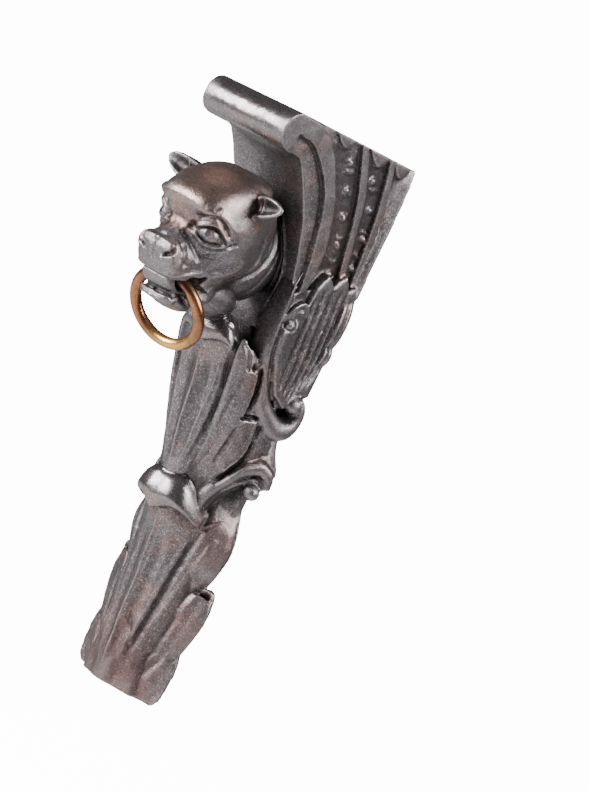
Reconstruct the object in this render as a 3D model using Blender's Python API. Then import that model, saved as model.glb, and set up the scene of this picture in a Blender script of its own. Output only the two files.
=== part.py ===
"""A figural corbel of cast iron: a scrolled console with fluted sides, a beast's head on its front
and two acanthus leaves below it, all one casting, with a loose copper ring in the beast's mouth.

The origin lies on the flat back, which is fixed against a wall. +Z is up, the head looks along -Y,
and +X is at the right of someone who faces it. Places are given as a pattern maker takes them, in
millimetres: across from the middle, out from the wall, and down from the bearing face on top.
"""

import math

import bmesh
import bpy
from mathutils import Vector

MM = 0.001

# Driving dimensions
HEIGHT = 308.0
HALF_WIDTH = 28.6  # over the fillets and the roll
CORE_HALF_WIDTH = 25.4  # at the floors of the flutes
BEARING_ABOVE_ORIGIN = 75.0
ROLL_OUT, ROLL_RADIUS = 100.0, 10.0

UPPER_SCROLL_CENTRE = (8.4, 134.6)  # out, down
LOWER_SCROLL_CENTRE = (8.4, 184.0)
SCROLL_KNOB_RADIUS = 5.0

MOUTH_PIN = (2.2, 107.3, 98.7)  # where the ring bears in the mouth: across, out, down
RING_RADIUS, RING_WIRE_RADIUS = 20.0, 3.0
RING_SWUNG_IN_DEG = 35.6  # from straight down, towards the wall
RING_SKEW_DEG = 11.0  # how far the ring is turned from lying square across the mouth
RING_SWINGS_FURTHER_IN_DEG = 25.0
RING_PLAY = 0.8  # clear space round the wire, in the mouth

FLAT_OVERCUT = 1.0  # how far rough shapes run past the planes that trim them


def at(across, out, down):
    """A point in metres, from its place across, out from the wall and down from the bearing face."""
    return Vector((across, -out, BEARING_ABOVE_ORIGIN - down)) * MM


def clear_scene():
    for obj in list(bpy.data.objects):
        bpy.data.objects.remove(obj, do_unlink=True)


def paint(obj, name, colour, roughness, metallic):
    material = bpy.data.materials.new(name)
    material.use_nodes = True
    shader = material.node_tree.nodes["Principled BSDF"]
    shader.inputs["Base Color"].default_value = (*colour, 1.0)
    shader.inputs["Roughness"].default_value = roughness
    shader.inputs["Metallic"].default_value = metallic
    obj.data.materials.append(material)


def solid(name, verts, faces):
    """A closed mesh object from points and faces, with its faces turned outwards."""
    mesh = bpy.data.meshes.new(name)
    mesh.from_pydata([tuple(v) for v in verts], [], faces)
    work = bmesh.new()
    work.from_mesh(mesh)
    bmesh.ops.recalc_face_normals(work, faces=work.faces)
    work.to_mesh(mesh)
    work.free()
    obj = bpy.data.objects.new(name, mesh)
    bpy.context.scene.collection.objects.link(obj)
    return obj


def loft(name, rings):
    """A closed solid through rings of points, which all have the same count."""
    count = len(rings[0])
    verts = [p for ring in rings for p in ring]
    faces = [tuple(range(count)), tuple(range(len(verts) - count, len(verts)))]
    for r in range(len(rings) - 1):
        for i in range(count):
            a, b = r * count + i, r * count + (i + 1) % count
            faces.append((a, b, b + count, a + count))
    return solid(name, verts, faces)


def prism(name, outline, left, right):
    """A side-view outline of (out, down) points, drawn out across the corbel."""
    return loft(name, [[at(x, out, down) for out, down in outline] for x in (left, right)])


def bezier(p0, p1, p2, p3, steps):
    """Points along one cubic curve, both ends included."""
    points = []
    for i in range(steps + 1):
        t = i / steps
        weights = ((1 - t) ** 3, 3 * t * (1 - t) ** 2, 3 * t * t * (1 - t), t**3)
        corners = list(zip(p0, p1, p2, p3))
        points.append(tuple(sum(w * value for w, value in zip(weights, corner)) for corner in corners))
    return points


def smooth(stations, steps):
    """Points on a smooth line through the stations, with `steps` spans between each pair."""
    points = []
    for i in range(len(stations) - 1):
        a, b = stations[i], stations[i + 1]
        before, after = stations[max(i - 1, 0)], stations[min(i + 2, len(stations) - 1)]
        lead = tuple(p + (q - o) / 6 for o, p, q in zip(before, a, b))
        trail = tuple(q - (r - p) / 6 for p, q, r in zip(a, b, after))
        points += bezier(a, lead, trail, b, steps)[:steps]
    return points + [stations[-1]]


def arc(centre, radius, start_deg, end_deg, steps):
    """Side-view points round a circle. 0 degrees points out from the wall and 90 degrees points up."""
    points = []
    for i in range(steps + 1):
        a = math.radians(start_deg + (end_deg - start_deg) * i / steps)
        points.append((centre[0] + radius * math.cos(a), centre[1] - radius * math.sin(a)))
    return points


def egg(centre, radii, nose_down_deg=0.0, segments=16, rows=10):
    """The points and faces of an ellipsoid, which may be tipped so that its front drops."""
    tilt = math.radians(nose_down_deg)
    rings = []
    for r in range(rows + 1):
        polar = math.pi * max(min(r / rows, 0.985), 0.015)
        ring = []
        for s in range(segments):
            turn = 2 * math.pi * s / segments
            y = radii[1] * math.sin(polar) * math.sin(turn)
            z = -radii[2] * math.cos(polar)
            out, down = y * math.cos(tilt) - z * math.sin(tilt), y * math.sin(tilt) + z * math.cos(tilt)
            across = radii[0] * math.sin(polar) * math.cos(turn)
            ring.append(at(centre[0] + across, centre[1] + out, centre[2] + down))
        rings.append(ring)
    return rings


# The console: a core with raised fillets on both sides, so that hollow flutes lie between them


def cavetto():
    """The front of the console in side view, from under the roll to the foot of the upper scroll."""
    stations = [(86, 20.4), (80, 25), (70, 36), (62, 46), (56, 57), (51, 67), (46, 80), (41, 90)]
    stations += [(38, 102), (34, 115), (29, 128), (22, 142)]
    return smooth(stations, 2)


def console_core():
    roll = arc((ROLL_OUT, ROLL_RADIUS), ROLL_RADIUS, 90, -90, 12)
    back = -FLAT_OVERCUT
    outline = [(back, back)] + roll + cavetto() + [(12, 150), (back, 150)]
    return prism("console_core", outline, -CORE_HALF_WIDTH, CORE_HALF_WIDTH)


def fillet_outlines():
    """The raised bands of one side: three curved fillets, the border at the back and three tongues."""
    back = -FLAT_OVERCUT
    disc = arc((ROLL_OUT, ROLL_RADIUS), ROLL_RADIUS, -100, 90, 12)
    first = disc + bezier((81, 0), (66, 10), (46, 32), (34, 70), 10)
    first += bezier((43, 72), (50, 40), (72, 14), (96, 10), 10)
    second = bezier((49, 0), (38, 12), (25, 38), (18, 66), 7)
    second += bezier((14, 68), (20, 40), (32, 14), (43, 0), 7)
    third = bezier((23, 0), (16, 14), (10, 40), (6, 66), 7)
    third += bezier((2, 68), (5, 40), (11, 14), (18.5, 0), 7)
    border = [(back, back), (2.6, back), (2.6, 66), (back, 66)]
    tongues = []
    for out in (62, 33, 12.5):
        half = 6.5 if out > 40 else 4.6
        tip = arc((out, 2.2), 3.6, -160, -20, 6)
        tongues.append([(out - half, back), (out - half * 0.9, 3.2)] + tip + [(out + half, back)])
    return [first, second, third, border] + tongues


def fillets(side):
    inner, outer = side * (CORE_HALF_WIDTH - 2.0), side * HALF_WIDTH
    return [prism("fillet", outline, inner, outer) for outline in fillet_outlines()]


def band(name, side, stations, boxiness=2.6):
    """A rounded band that follows a side-view line: (out, down, thickness, inner, outer) at each place."""
    line = smooth(stations, 2)
    rings = []
    for i, (out, down, half, inner, outer) in enumerate(line):
        ahead, behind = line[min(i + 1, len(line) - 1)], line[max(i - 1, 0)]
        along = Vector((ahead[0] - behind[0], ahead[1] - behind[1])).normalized()
        middle, reach = (inner + outer) / 2, (outer - inner) / 2
        ring = []
        for k in range(8):
            a = 2 * math.pi * k / 8
            c, s = math.cos(a), math.sin(a)
            over = half * math.copysign(abs(s) ** (2 / boxiness), s)
            across = middle + reach * math.copysign(abs(c) ** (2 / boxiness), c)
            ring.append(at(side * across, out - along.y * over, down + along.x * over))
        rings.append(ring)
    return loft(name, rings)


def upper_scroll(side):
    """The rounded border that grows down the belly and hooks up against the wall."""
    stations = [
        (46.5, 78, 1.2, 18, 28.8),
        (44.6, 104, 1.9, 16, 29.2),
        (40.4, 120.5, 3.0, 15, 29.8),
        (36.6, 129.5, 4.2, 14, 30.6),
        (30.4, 138.4, 5.6, 12, 31.6),
        (22, 145.6, 6.8, 10, 33.2),
        (13.4, 149.4, 7.2, 10, 35),
        (6.6, 147.6, 6.4, 10, 36),
        (3.8, 141.4, 5.0, 10, 36.2),
        (4.4, 134.6, 4.0, 12, 36),
        (8, 130.4, 3.0, 14, 34.6),
    ]
    return band("upper_scroll", side, stations)


def lower_scroll(side):
    """The band that rises from behind the knee, turns over and curls down against the wall."""
    stations = [
        (22.5, 206, 2.2, 6, 18.6),
        (24.6, 197, 3.0, 8, 20.6),
        (23.4, 189.6, 3.8, 9, 23.6),
        (20.8, 181.6, 4.3, 10, 27.4),
        (16.4, 174.8, 4.8, 12, 31.4),
        (10, 171, 5.0, 14, 35),
        (4.6, 173.5, 4.6, 14, 37.0),
        (3.4, 180, 3.4, 16, 37.2),
    ]
    return band("lower_scroll", side, stations)


def scroll_knob(side, centre):
    radius = SCROLL_KNOB_RADIUS
    return loft("scroll_knob", egg((side * 31, *centre), (radius, radius, radius), 0, 10, 6))


def stem():
    """The body behind the leaves, from the console down to the foot, in cross-section rings."""
    stations = [
        (120, 24, 40),
        (150, 25, 30),
        (163, 27.5, 19),
        (180, 27, 17),
        (192, 26, 20),
        (206, 27.5, 17),
        (222, 28, 13),
        (245, 26, 12),
        (285, 24, 9),
        (310, 24, 8),
    ]
    rings = []
    for down, half, out in stations:
        ring = [(-half, -FLAT_OVERCUT), (-half, out * 0.3), (-half * 0.72, out * 0.85), (0, out)]
        ring += [(half * 0.72, out * 0.85), (half, out * 0.3), (half, -FLAT_OVERCUT)]
        rings.append([at(x, y, down) for x, y in ring])
    return loft("stem", rings)


# Leaves: a keeled body, with lobes laid along its sides


def keel(name, stations, inside):
    """A leaf's middle: (down, ridge out, half-width, edge out, roundness) at each place."""
    rings = []
    for down, ridge, half, edge, power in smooth(stations, 2):
        ring = []
        for share in (-1, -0.8, -0.55, -0.25, 0, 0.25, 0.55, 0.8, 1):
            ring.append(at(share * half, ridge - (ridge - edge) * abs(share) ** power, down))
        ring += [at(half * 0.9, inside, down), at(-half * 0.9, inside, down)]
        rings.append(ring)
    return loft(name, rings)


def lobe(side, stations, rise=1.5, depth=9.0):
    """One lobe: (across, out, down, half-width, facing) at each place, root last.

    Facing is 0 degrees where the lobe looks straight out from the wall and 90 where it looks sideways."""
    rings = []
    for across, out, down, half, facing in smooth(stations, 2):
        turn = math.radians(facing)
        normal, over = (math.sin(turn), math.cos(turn)), (math.cos(turn), -math.sin(turn))
        ring = []
        section = ((-1, -0.5), (-0.6, 0.6), (0, 1), (0.6, 0.6), (1, -0.5), (0.9, None), (-0.9, None))
        for share, height in section:
            lift = -depth if height is None else rise * height
            x = across + over[0] * half * share + normal[0] * lift
            ring.append(at(side * x, out + over[1] * half * share + normal[1] * lift, down))
        rings.append(ring)
    return loft("lobe", rings)


def rolled_tip(name, half, out, down, radius, sweep):
    """The end of a leaf, rolled over outwards into a plump lip that falls back at both sides."""
    rings = []
    for i in range(11):
        share = -1 + i / 5
        bulge = radius * max(1 - abs(share) ** 3.0, 0.06) ** 0.5
        ring = arc((out - sweep * share * share, down), bulge, 0, 324, 9)
        rings.append([at(half * share, o, d) for o, d in ring])
    return loft(name, rings)


def upper_leaf():
    body = [
        (112, 60, 17, 56, 2.4),
        (122, 59.5, 22, 53, 2.2),
        (137, 53.5, 25.6, 46, 1.9),
        (152, 50.5, 25, 37.5, 1.5),
        (164, 47.5, 23.5, 31, 1.35),
        (177, 43.5, 20.5, 28.5, 1.25),
        (188, 40, 17.5, 26.5, 1.25),
        (202, 33, 15, 22, 1.3),
    ]
    parts = [keel("upper_leaf", body, 12), rolled_tip("upper_tip", 18, 59, 114, 7.4, 3)]
    second = [(20, 53, 112, 1.0, 18), (20.5, 54, 118, 5.6, 18), (20, 51.5, 135, 6.6, 22)]
    second += [(17, 43, 165, 5.6, 32), (12, 35, 190, 3.4, 36)]
    third = [(26.5, 40, 123, 0.8, 78), (26.8, 41, 129, 4.6, 74), (26.2, 38, 148, 5.2, 70)]
    third += [(22.5, 31, 172, 4.4, 60), (16, 28, 192, 2.4, 50)]
    fourth = [(27.6, 23, 149, 4.6, 84), (27.8, 23, 156, 6.2, 84), (26.5, 23, 170, 5.6, 78)]
    fourth += [(22, 24, 184, 4.2, 70), (17, 25, 198, 2.2, 60)]
    for side in (-1, 1):
        parts += [lobe(side, line) for line in (second, third, fourth)]
    return parts


def lower_leaf():
    body = [
        (206, 33, 18, 24, 1.6),
        (218, 29, 20, 17, 1.5),
        (236, 24.5, 21, 12.5, 1.4),
        (254, 22, 23, 9.5, 1.3),
        (270, 20, 24, 8, 1.3),
        (288, 17.5, 24.5, 6, 1.4),
        (310, 14, 24, 5, 1.6),
    ]
    knee = rolled_tip("knee", 21.5, 30, 203, 11.4, 9)
    parts = [keel("lower_leaf", body, -FLAT_OVERCUT), knee]
    first = [(24.5, 12, 200, 5.6, 48), (26, 10.5, 212, 8.6, 48), (25.6, 8, 226, 8.0, 46)]
    first += [(22, 7.5, 241, 5.6, 42), (17, 8, 262, 2, 36)]
    second = [(31, 4.5, 243.5, 4.6, 18), (30.6, 5.2, 251, 7.2, 20), (29, 5, 266, 7.2, 20)]
    second += [(25, 5, 282, 6, 20), (20, 5, 308, 3, 20)]
    third = [(28.6, 3.5, 280.5, 5.4, 12), (28.2, 3.5, 288, 6.2, 12), (23, 3.2, 310, 5.6, 12)]
    for side in (-1, 1):
        parts += [lobe(side, line, 1.8, 8.0) for line in (first, second, third)]
    return parts


def palmette(side):
    """A fan of pointed leaflets that springs from the upper scroll and covers the foot of the flutes."""
    root = UPPER_SCROLL_CENTRE
    plate = smooth([(46, 77), (41, 100), (35, 118), (24, 134)], 3) + [(12, 140), (0.4, 138), (0.4, 74)]
    parts = [prism("palmette_ground", plate, side * (CORE_HALF_WIDTH - 2), side * (HALF_WIDTH - 0.4))]
    tips = [(43, 74), (33, 66), (24, 66), (13.5, 62), (4.5, 66), (4, 90)]
    for tip in tips:
        middle = ((root[0] + tip[0]) / 2 + (tip[0] - 16) * 0.16, (root[1] + tip[1]) / 2 + 2)
        line = bezier(root, middle, middle, tip, 6)
        rings = []
        for i, (out, down) in enumerate(line):
            ahead, behind = line[min(i + 1, 6)], line[max(i - 1, 0)]
            along = Vector((ahead[0] - behind[0], ahead[1] - behind[1])).normalized()
            half = 4.8 * (0.3, 0.55, 0.78, 0.95, 1.0, 0.72, 0.08)[i]
            ring = []
            for share, across in ((-1, 28.6), (0, 31.2), (1, 28.6), (0.9, 24), (-0.9, 24)):
                reach = max(out - along.y * half * share, 0.4)
                ring.append(at(side * across, reach, down + along.x * half * share))
            rings.append(ring)
        parts.append(loft("leaflet", rings))
    parts.append(loft("leaf_eye", egg((side * 29.5, 36, 97), (2.4, 4.6, 4.6), 0, 10, 6)))
    return parts


# The beast's head: one lofted face, with the neck, jaws, eyes and ears set into it

# Places across and out at each level down, from the middle of the face round to its side
FACE = {
    37.0: ((0, 95), (3, 94.6), (6, 93), (8, 90.5), (9, 88), (8, 85.5), (4, 83)),
    44.0: ((0, 107.7), (7, 107.2), (13.6, 104.2), (18.2, 98.8), (20.2, 92), (19, 84), (11, 74)),
    50.0: ((0, 116), (8, 115.4), (14.8, 112.5), (19.8, 106.5), (22.8, 98), (22.4, 86), (14, 68)),
    56.0: ((0, 121.8), (9, 120.8), (15.8, 117.2), (20.6, 110.5), (23.8, 101), (24, 88), (15, 65)),
    61.5: ((0, 124.2), (9, 123.2), (15.8, 120), (20.4, 114), (23.8, 104), (24.8, 90), (16, 65)),
    66.5: ((0, 119.4), (7, 119.4), (13, 118), (19, 113.2), (24, 104.8), (25.2, 90), (16, 65)),
    71.0: ((0, 116.6), (5, 117), (10, 116), (16.8, 111.4), (23.2, 103.6), (25.2, 89.5), (16, 65)),
    79.0: ((0, 120.2), (5.4, 119.2), (10.4, 115), (16.2, 109), (22.3, 101), (24.2, 87), (15.5, 65)),
    87.0: ((0, 125.8), (9.2, 125), (13.8, 120.6), (16, 110.4), (20, 99), (20, 87), (13, 68)),
    95.0: ((0, 123.4), (9.6, 122.2), (13.8, 118.4), (15.4, 109.4), (17.6, 98), (15.5, 87), (10, 70)),
    100.6: ((0, 118.6), (7.6, 117.6), (11.6, 114.6), (13.2, 108), (14.6, 98), (13.4, 87), (8, 70)),
}


def face_rings():
    """Closed rings round the head, level by level."""
    levels = [(down, *(value for place in places for value in place)) for down, places in FACE.items()]
    rings = []
    for down, *values in smooth(levels, 2):
        half = smooth(list(zip(values[::2], values[1::2])), 2)
        loop = half + [(-across, out) for across, out in half[:0:-1]]
        rings.append([at(across, out, down) for across, out in loop])
    return rings


def head_masses():
    masses = [
        face_rings(),
        egg((0, 66, 75), (16.6, 32.0, 27.0), 12),  # neck
        egg((0, 78, 100.5), (15.0, 24.0, 12.0), -6),  # throat
        egg((0, 107, 101), (12.0, 11.5, 6.4)),  # teeth
        egg((0, 99.5, 109.6), (12.2, 14.0, 5.2), -6),  # lower jaw
    ]
    for side in (-1, 1):
        masses.append(egg((side * 14, 108.4, 72.6), (6.4, 5.6, 5.0)))  # eye
        masses.append(ear(side))
    return masses


def ear(side):
    """A short pointed ear that stands out sideways."""
    rings = []
    stations = [(16, 88, 53, 5, 6.6), (25, 95, 50.2, 4.4, 6.8),
                (32, 97.6, 49, 3.4, 5.8), (41.2, 98.4, 47.4, 1.0, 1.2)]
    for across, out, down, thick, tall in stations:
        ring = []
        for k in range(10):
            a = 2 * math.pi * k / 10
            ring.append(at(side * across, out + thick * math.cos(a), down + tall * math.sin(a)))
        rings.append(ring)
    return rings


def head():
    """One skin over all the masses: remeshed, smoothed and thinned to flat facets."""
    verts, faces = [], []
    for rings in head_masses():
        count, start = len(rings[0]), len(verts)
        verts += [p for ring in rings for p in ring]
        faces.append(tuple(range(start + count - 1, start - 1, -1)))
        faces.append(tuple(range(len(verts) - count, len(verts))))
        for r in range(len(rings) - 1):
            for i in range(count):
                a, b = start + r * count + i, start + r * count + (i + 1) % count
                faces.append((a, b, b + count, a + count))
    skin = solid("head", verts, faces)
    remesh = skin.modifiers.new("Skin", "REMESH")
    remesh.mode = "VOXEL"
    remesh.voxel_size = 1.4 * MM
    soften = skin.modifiers.new("Soften", "SMOOTH")
    soften.factor, soften.iterations = 0.5, 6
    thin = skin.modifiers.new("Thin", "DECIMATE")
    thin.ratio = 0.056
    return skin


def mouth_cutter():
    """The way through the jaws, as wide as the ring needs at each place while it swings."""
    skew = math.radians(RING_SKEW_DEG)
    clear = RING_WIRE_RADIUS + RING_PLAY
    rings = []
    for i in range(17):
        along = (i - 8) * 2.08
        below = RING_RADIUS - math.sqrt((RING_RADIUS - RING_WIRE_RADIUS) ** 2 - along**2) + RING_PLAY
        hub = RING_RADIUS - math.sqrt(RING_RADIUS**2 - along**2)
        spread = math.degrees(math.asin(clear / max(hub, clear)))
        inmost = min(115, RING_SWUNG_IN_DEG + RING_SWINGS_FURTHER_IN_DEG + spread)
        lower = arc((0, 0), below, -5, -90 - inmost, 10)
        upper = arc((0, 0), clear, 270 - inmost, 0, 6)
        x, out = MOUTH_PIN[0] + along * math.cos(skew), MOUTH_PIN[1] - along * math.sin(skew)
        rings.append([at(x + o * math.sin(skew), out + o * math.cos(skew), MOUTH_PIN[2] + d)
                      for o, d in lower + upper])
    return loft("mouth", rings)


def mouth_ring():
    """The copper ring. Its origin is on the line through the mouth that it swings about."""
    verts, faces = [], []
    around, wire = 44, 9
    swing, skew = math.radians(RING_SWUNG_IN_DEG), math.radians(RING_SKEW_DEG)
    axis = Vector((math.cos(skew), math.sin(skew), 0))
    up = Vector((math.sin(skew) * math.sin(swing), -math.cos(skew) * math.sin(swing), math.cos(swing)))
    normal = axis.cross(up)
    for i in range(around):
        a = 2 * math.pi * i / around
        outward = axis * math.cos(a) + up * math.sin(a)
        for k in range(wire):
            b = 2 * math.pi * k / wire
            reach = outward * (RING_RADIUS + RING_WIRE_RADIUS * math.cos(b)) - up * RING_RADIUS
            verts.append((reach + normal * RING_WIRE_RADIUS * math.sin(b)) * MM)
            ahead, beside = (i + 1) % around, (k + 1) % wire
            faces.append((i * wire + k, ahead * wire + k, ahead * wire + beside, i * wire + beside))
    ring = solid("mouth_ring", verts, faces)
    ring.location = at(*MOUTH_PIN)
    ring.data.shade_smooth()
    return ring


# Putting it together


def combine(base, others, operation):
    """Joins or cuts base with all the others at once, and keeps the others as hidden guides."""
    group = bpy.data.collections.new(f"{others[0].name}_{operation.lower()}")
    bpy.context.scene.collection.children.link(group)
    for other in others:
        bpy.context.scene.collection.objects.unlink(other)
        group.objects.link(other)
        other.hide_render = True
        other.display_type = "WIRE"
    step = base.modifiers.new(operation.title(), "BOOLEAN")
    step.operation = operation
    step.operand_type = "COLLECTION"
    step.collection = group
    step.solver = "EXACT"


def envelope():
    """The block that the casting is trimmed to: its flat back, bearing face and foot."""
    return prism("envelope", [(0, 0), (150, 0), (150, HEIGHT), (0, HEIGHT)], -60.0, 60.0)


def build():
    clear_scene()
    casting = console_core()
    casting.name = "corbel_casting"
    parts = [stem(), head()]
    for side in (-1, 1):
        parts += fillets(side) + palmette(side)
        parts += [upper_scroll(side), lower_scroll(side)]
        parts += [scroll_knob(side, centre) for centre in (UPPER_SCROLL_CENTRE, LOWER_SCROLL_CENTRE)]
    parts += upper_leaf() + lower_leaf()
    combine(casting, parts, "UNION")
    combine(casting, [mouth_cutter()], "DIFFERENCE")
    combine(casting, [envelope()], "INTERSECT")
    paint(casting, "iron_patina", (0.10, 0.085, 0.08), 0.45, 0.85)
    paint(mouth_ring(), "copper", (0.55, 0.30, 0.16), 0.3, 1.0)


build()
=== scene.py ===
# %% [markdown]
# # A figural corbel of cast iron, with a loose copper ring
# A corbel carries a shelf, a beam or a desk top from a wall. This one is a single iron casting: a
# scrolled console with fluted sides, a beast's head on its front, and two acanthus leaves below.
# Only the ring in the beast's mouth moves. The measured frame of solids is loaded first, and every
# piece is then built around it, in the same place and at the same size.

# %% The frame
import math

import bmesh
import bpy
import numpy as np
from mathutils import Matrix, Vector, kdtree


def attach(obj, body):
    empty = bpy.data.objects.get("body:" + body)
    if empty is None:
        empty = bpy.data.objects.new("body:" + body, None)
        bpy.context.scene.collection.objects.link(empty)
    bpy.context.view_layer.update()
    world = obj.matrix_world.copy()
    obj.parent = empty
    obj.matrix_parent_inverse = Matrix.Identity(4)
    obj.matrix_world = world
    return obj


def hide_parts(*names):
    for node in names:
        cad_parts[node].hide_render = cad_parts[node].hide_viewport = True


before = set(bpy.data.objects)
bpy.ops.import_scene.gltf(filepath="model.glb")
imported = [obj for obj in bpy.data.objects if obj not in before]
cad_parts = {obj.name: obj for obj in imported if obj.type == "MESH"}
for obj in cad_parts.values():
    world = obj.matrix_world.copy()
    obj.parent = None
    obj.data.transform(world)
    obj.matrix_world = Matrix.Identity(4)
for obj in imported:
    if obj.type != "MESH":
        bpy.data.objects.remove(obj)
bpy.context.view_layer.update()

# %% [markdown]
# ## How a carved casting is made here
# A pattern carver starts with lumps that have the right bulk, blends them into one body, and then
# cuts and raises the fine lines with small tools. The same order works here. Closed lumps are
# lofted, one voxel remesh joins them into one skin, and strokes then push the skin in or out.
# Modelling every leaf as one clean mesh would need hundreds of hand-placed points instead.
# Places are given as a carver would measure them, in millimetres: across from the middle, out from
# the wall, and down from the flat bearing face on top.

# %% Measures and places
MM = 0.001
HEIGHT = 308.0
BEARING_ABOVE_ORIGIN = 75.0
HALF_WIDTH = 28.6  # over the fillets
CORE_HALF_WIDTH = 25.4  # at the floors of the flutes
ROOT = CORE_HALF_WIDTH - 3  # what stands out on the sides begins in here
GRAIN_OF_SKIN = 0.55  # the voxel that joins the lumps
TRIANGLES = 190000  # what the thinned casting keeps


def place(points):
    """Metres in the frame, from rows of across, out and down."""
    p = np.asarray(points, float)
    return np.stack([p[..., 0], -p[..., 1], BEARING_ABOVE_ORIGIN - p[..., 2]], -1) * MM


def flow(stations, steps):
    """Rows on a smooth line through the stations, with `steps` spans between each pair."""
    s = np.asarray(stations, float)
    s = np.vstack([2 * s[0] - s[1], s, 2 * s[-1] - s[-2]])
    t = (np.arange(steps) / steps)[:, None]
    rows = []
    for a, b, c, d in zip(s, s[1:], s[2:], s[3:]):
        rows.append(b + 0.5 * t * (c - a + t * (2 * a - 5 * b + 4 * c - d + t * (3 * (b - c) + d - a))))
    return np.vstack(rows + [s[-2][None]])


def arc(centre, radius, start_deg, end_deg, steps):
    """Side-view points round a circle. 0 degrees points out from the wall and 90 degrees points up."""
    a = np.radians(np.linspace(start_deg, end_deg, steps + 1))
    return np.stack([centre[0] + radius * np.cos(a), centre[1] - radius * np.sin(a)], -1)


clay = []


def lump(rings, mirror=False):
    """Adds a closed lump through rings of points, and its mirror image if asked."""
    rings = np.asarray(rings, float)
    count, size = rings.shape[:2]
    ring, spoke = np.arange(count - 1)[:, None] * size, np.arange(size)[None]
    ahead = (spoke + 1) % size
    quads = np.stack([ring + spoke, ring + ahead, ring + ahead + size, ring + spoke + size], -1)
    faces = quads.reshape(-1, 4).tolist()
    faces += [list(range(size)), list(range((count - 1) * size, count * size))]
    clay.append((rings.reshape(-1, 3), faces))
    if mirror:
        clay.append((rings.reshape(-1, 3) * (-1, 1, 1), faces))


def slab(outline, left, right, mirror=False):
    """A lump with one side-view outline of (out, down) points, between two places across."""
    outline = np.asarray(outline, float)
    lump([np.column_stack([np.full(len(outline), x), outline]) for x in (left, right)], mirror)


def in_scene(name, data):
    obj = bpy.data.objects.new(name, data)
    bpy.context.scene.collection.objects.link(obj)
    return obj


def mesh_object(name, verts, faces=(), edges=()):
    """An object of points in metres, with faces or with edges only."""
    mesh = bpy.data.meshes.new(name)
    mesh.from_pydata(verts.tolist(), edges, faces)
    return in_scene(name, mesh)


def gather(name, lumps):
    """One object of all the lumps, not yet joined."""
    verts, faces, start = [], [], 0
    for points, sides in lumps:
        verts.append(points)
        faces += [[i + start for i in side] for side in sides]
        start += len(points)
    return mesh_object(name, place(np.vstack(verts)), faces)


def face_outwards(obj):
    """Joins doubled points and turns every face outwards."""
    fixed = bmesh.new()
    fixed.from_mesh(obj.data)
    bmesh.ops.remove_doubles(fixed, verts=fixed.verts, dist=1e-6)
    bmesh.ops.recalc_face_normals(fixed, faces=fixed.faces)
    fixed.to_mesh(obj.data)
    fixed.free()


def bake(obj):
    """The object's mesh with its modifiers applied, in a plain new mesh."""
    settled = obj.evaluated_get(bpy.context.evaluated_depsgraph_get())
    mesh = bpy.data.meshes.new_from_object(settled)
    obj.modifiers.clear()
    obj.data = mesh
    return obj


def remesh(obj, voxel, smoothing=0):
    """Joins the lumps under one skin, and softens it."""
    skin = obj.modifiers.new("skin", "REMESH")
    skin.mode = "VOXEL"
    skin.voxel_size = voxel * MM
    if smoothing:
        soften = obj.modifiers.new("soften", "SMOOTH")
        soften.factor = 0.5
        soften.iterations = smoothing
    return bake(obj)


print("measures set: height", HEIGHT, "mm, skin voxel", GRAIN_OF_SKIN, "mm")

# %% [markdown]
# ## The console
# The console is a plain block with a rolled front edge and a hollow, or cavetto, under it. Bands of
# raised metal stand 3 mm proud on each side, and what lies between them reads as flutes. A side
# outline drawn across the width makes each of them, so that every edge stays crisp.

# %% The console's core and the fillets on its sides
ROLL = (100, 10)
roll = arc(ROLL, 10, 90, -90, 28)
hollow = flow([(97, 20), (86, 20.4), (80, 25), (70, 36), (62, 46), (56, 57), (51, 67), (46, 80),
               (41, 90), (38, 102), (34, 115), (29, 128), (22, 142)], 4)
core = np.vstack([[(0, 0)], roll, hollow, [(12, 150), (0, 150)]])
slab(core, -CORE_HALF_WIDTH, CORE_HALF_WIDTH)

first = [arc(ROLL, 10, -100, 90, 30),
         flow([(81, 1), (74, 5), (64, 13), (54, 25), (46, 37), (40, 50), (37.4, 60), (37, 70),
               (38.6, 80)], 3),
         flow([(42.6, 82), (43.8, 72), (46.6, 60), (51, 47), (56, 35), (64, 25), (74, 17), (85, 11),
               (97, 10)], 3)]
second = [flow([(49, 0), (40, 14), (33, 26), (27, 40), (23, 53), (18.5, 66)], 3),
          flow([(13.6, 66), (18, 53), (22, 40), (27, 26), (34, 14), (43.5, 0)], 3)]
third = [flow([(23, 0), (18, 14), (14, 26), (11, 40), (9, 53), (7, 68)], 3),
         [(0, 68), (0, 56)], flow([(3.6, 54), (6, 40), (8, 26), (13, 14), (18.5, 0)], 3)]
for edges in (first, second, third):
    slab(np.vstack(edges), ROOT, HALF_WIDTH, mirror=True)
border = []
for down, outer in ((0, 28.4), (3, 29), (8, 29.8), (24, 30.7), (41, 31.1), (72, 31.5)):
    border.append([(ROOT, 0, down), (outer, 0, down), (outer, 1.6, down), (outer - 0.8, 2.4, down),
                   (CORE_HALF_WIDTH, 8.4, down), (ROOT, 8.4, down)])
lump(border, mirror=True)
TONGUES = [[(71, 0), (67, 2.6), (64, 4.6), (60.4, 5.8), (56.4, 5.0), (53.4, 2.8), (51.4, 0)],
           [(40.4, 0), (36.8, 3.2), (33.6, 5.2), (30.1, 6.9), (26.5, 6.2), (24.2, 4.0), (22.2, 0)],
           [(18.6, 0), (15.6, 3.2), (13, 5.6), (9.7, 7.4), (6.6, 6.6), (4.6, 3.6), (3.2, 0)]]
for tongue in TONGUES:
    edge = flow(tongue, 5)
    middle = edge.mean(0) * (1, 0.2)
    rings = []
    for across, grown in ((ROOT, 1.0), (27.0, 1.0), (27.9, 0.88), (28.3, 0.66)):
        rings.append(np.column_stack([np.full(len(edge), across), middle + (edge - middle) * grown]))
    lump(rings, mirror=True)
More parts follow.
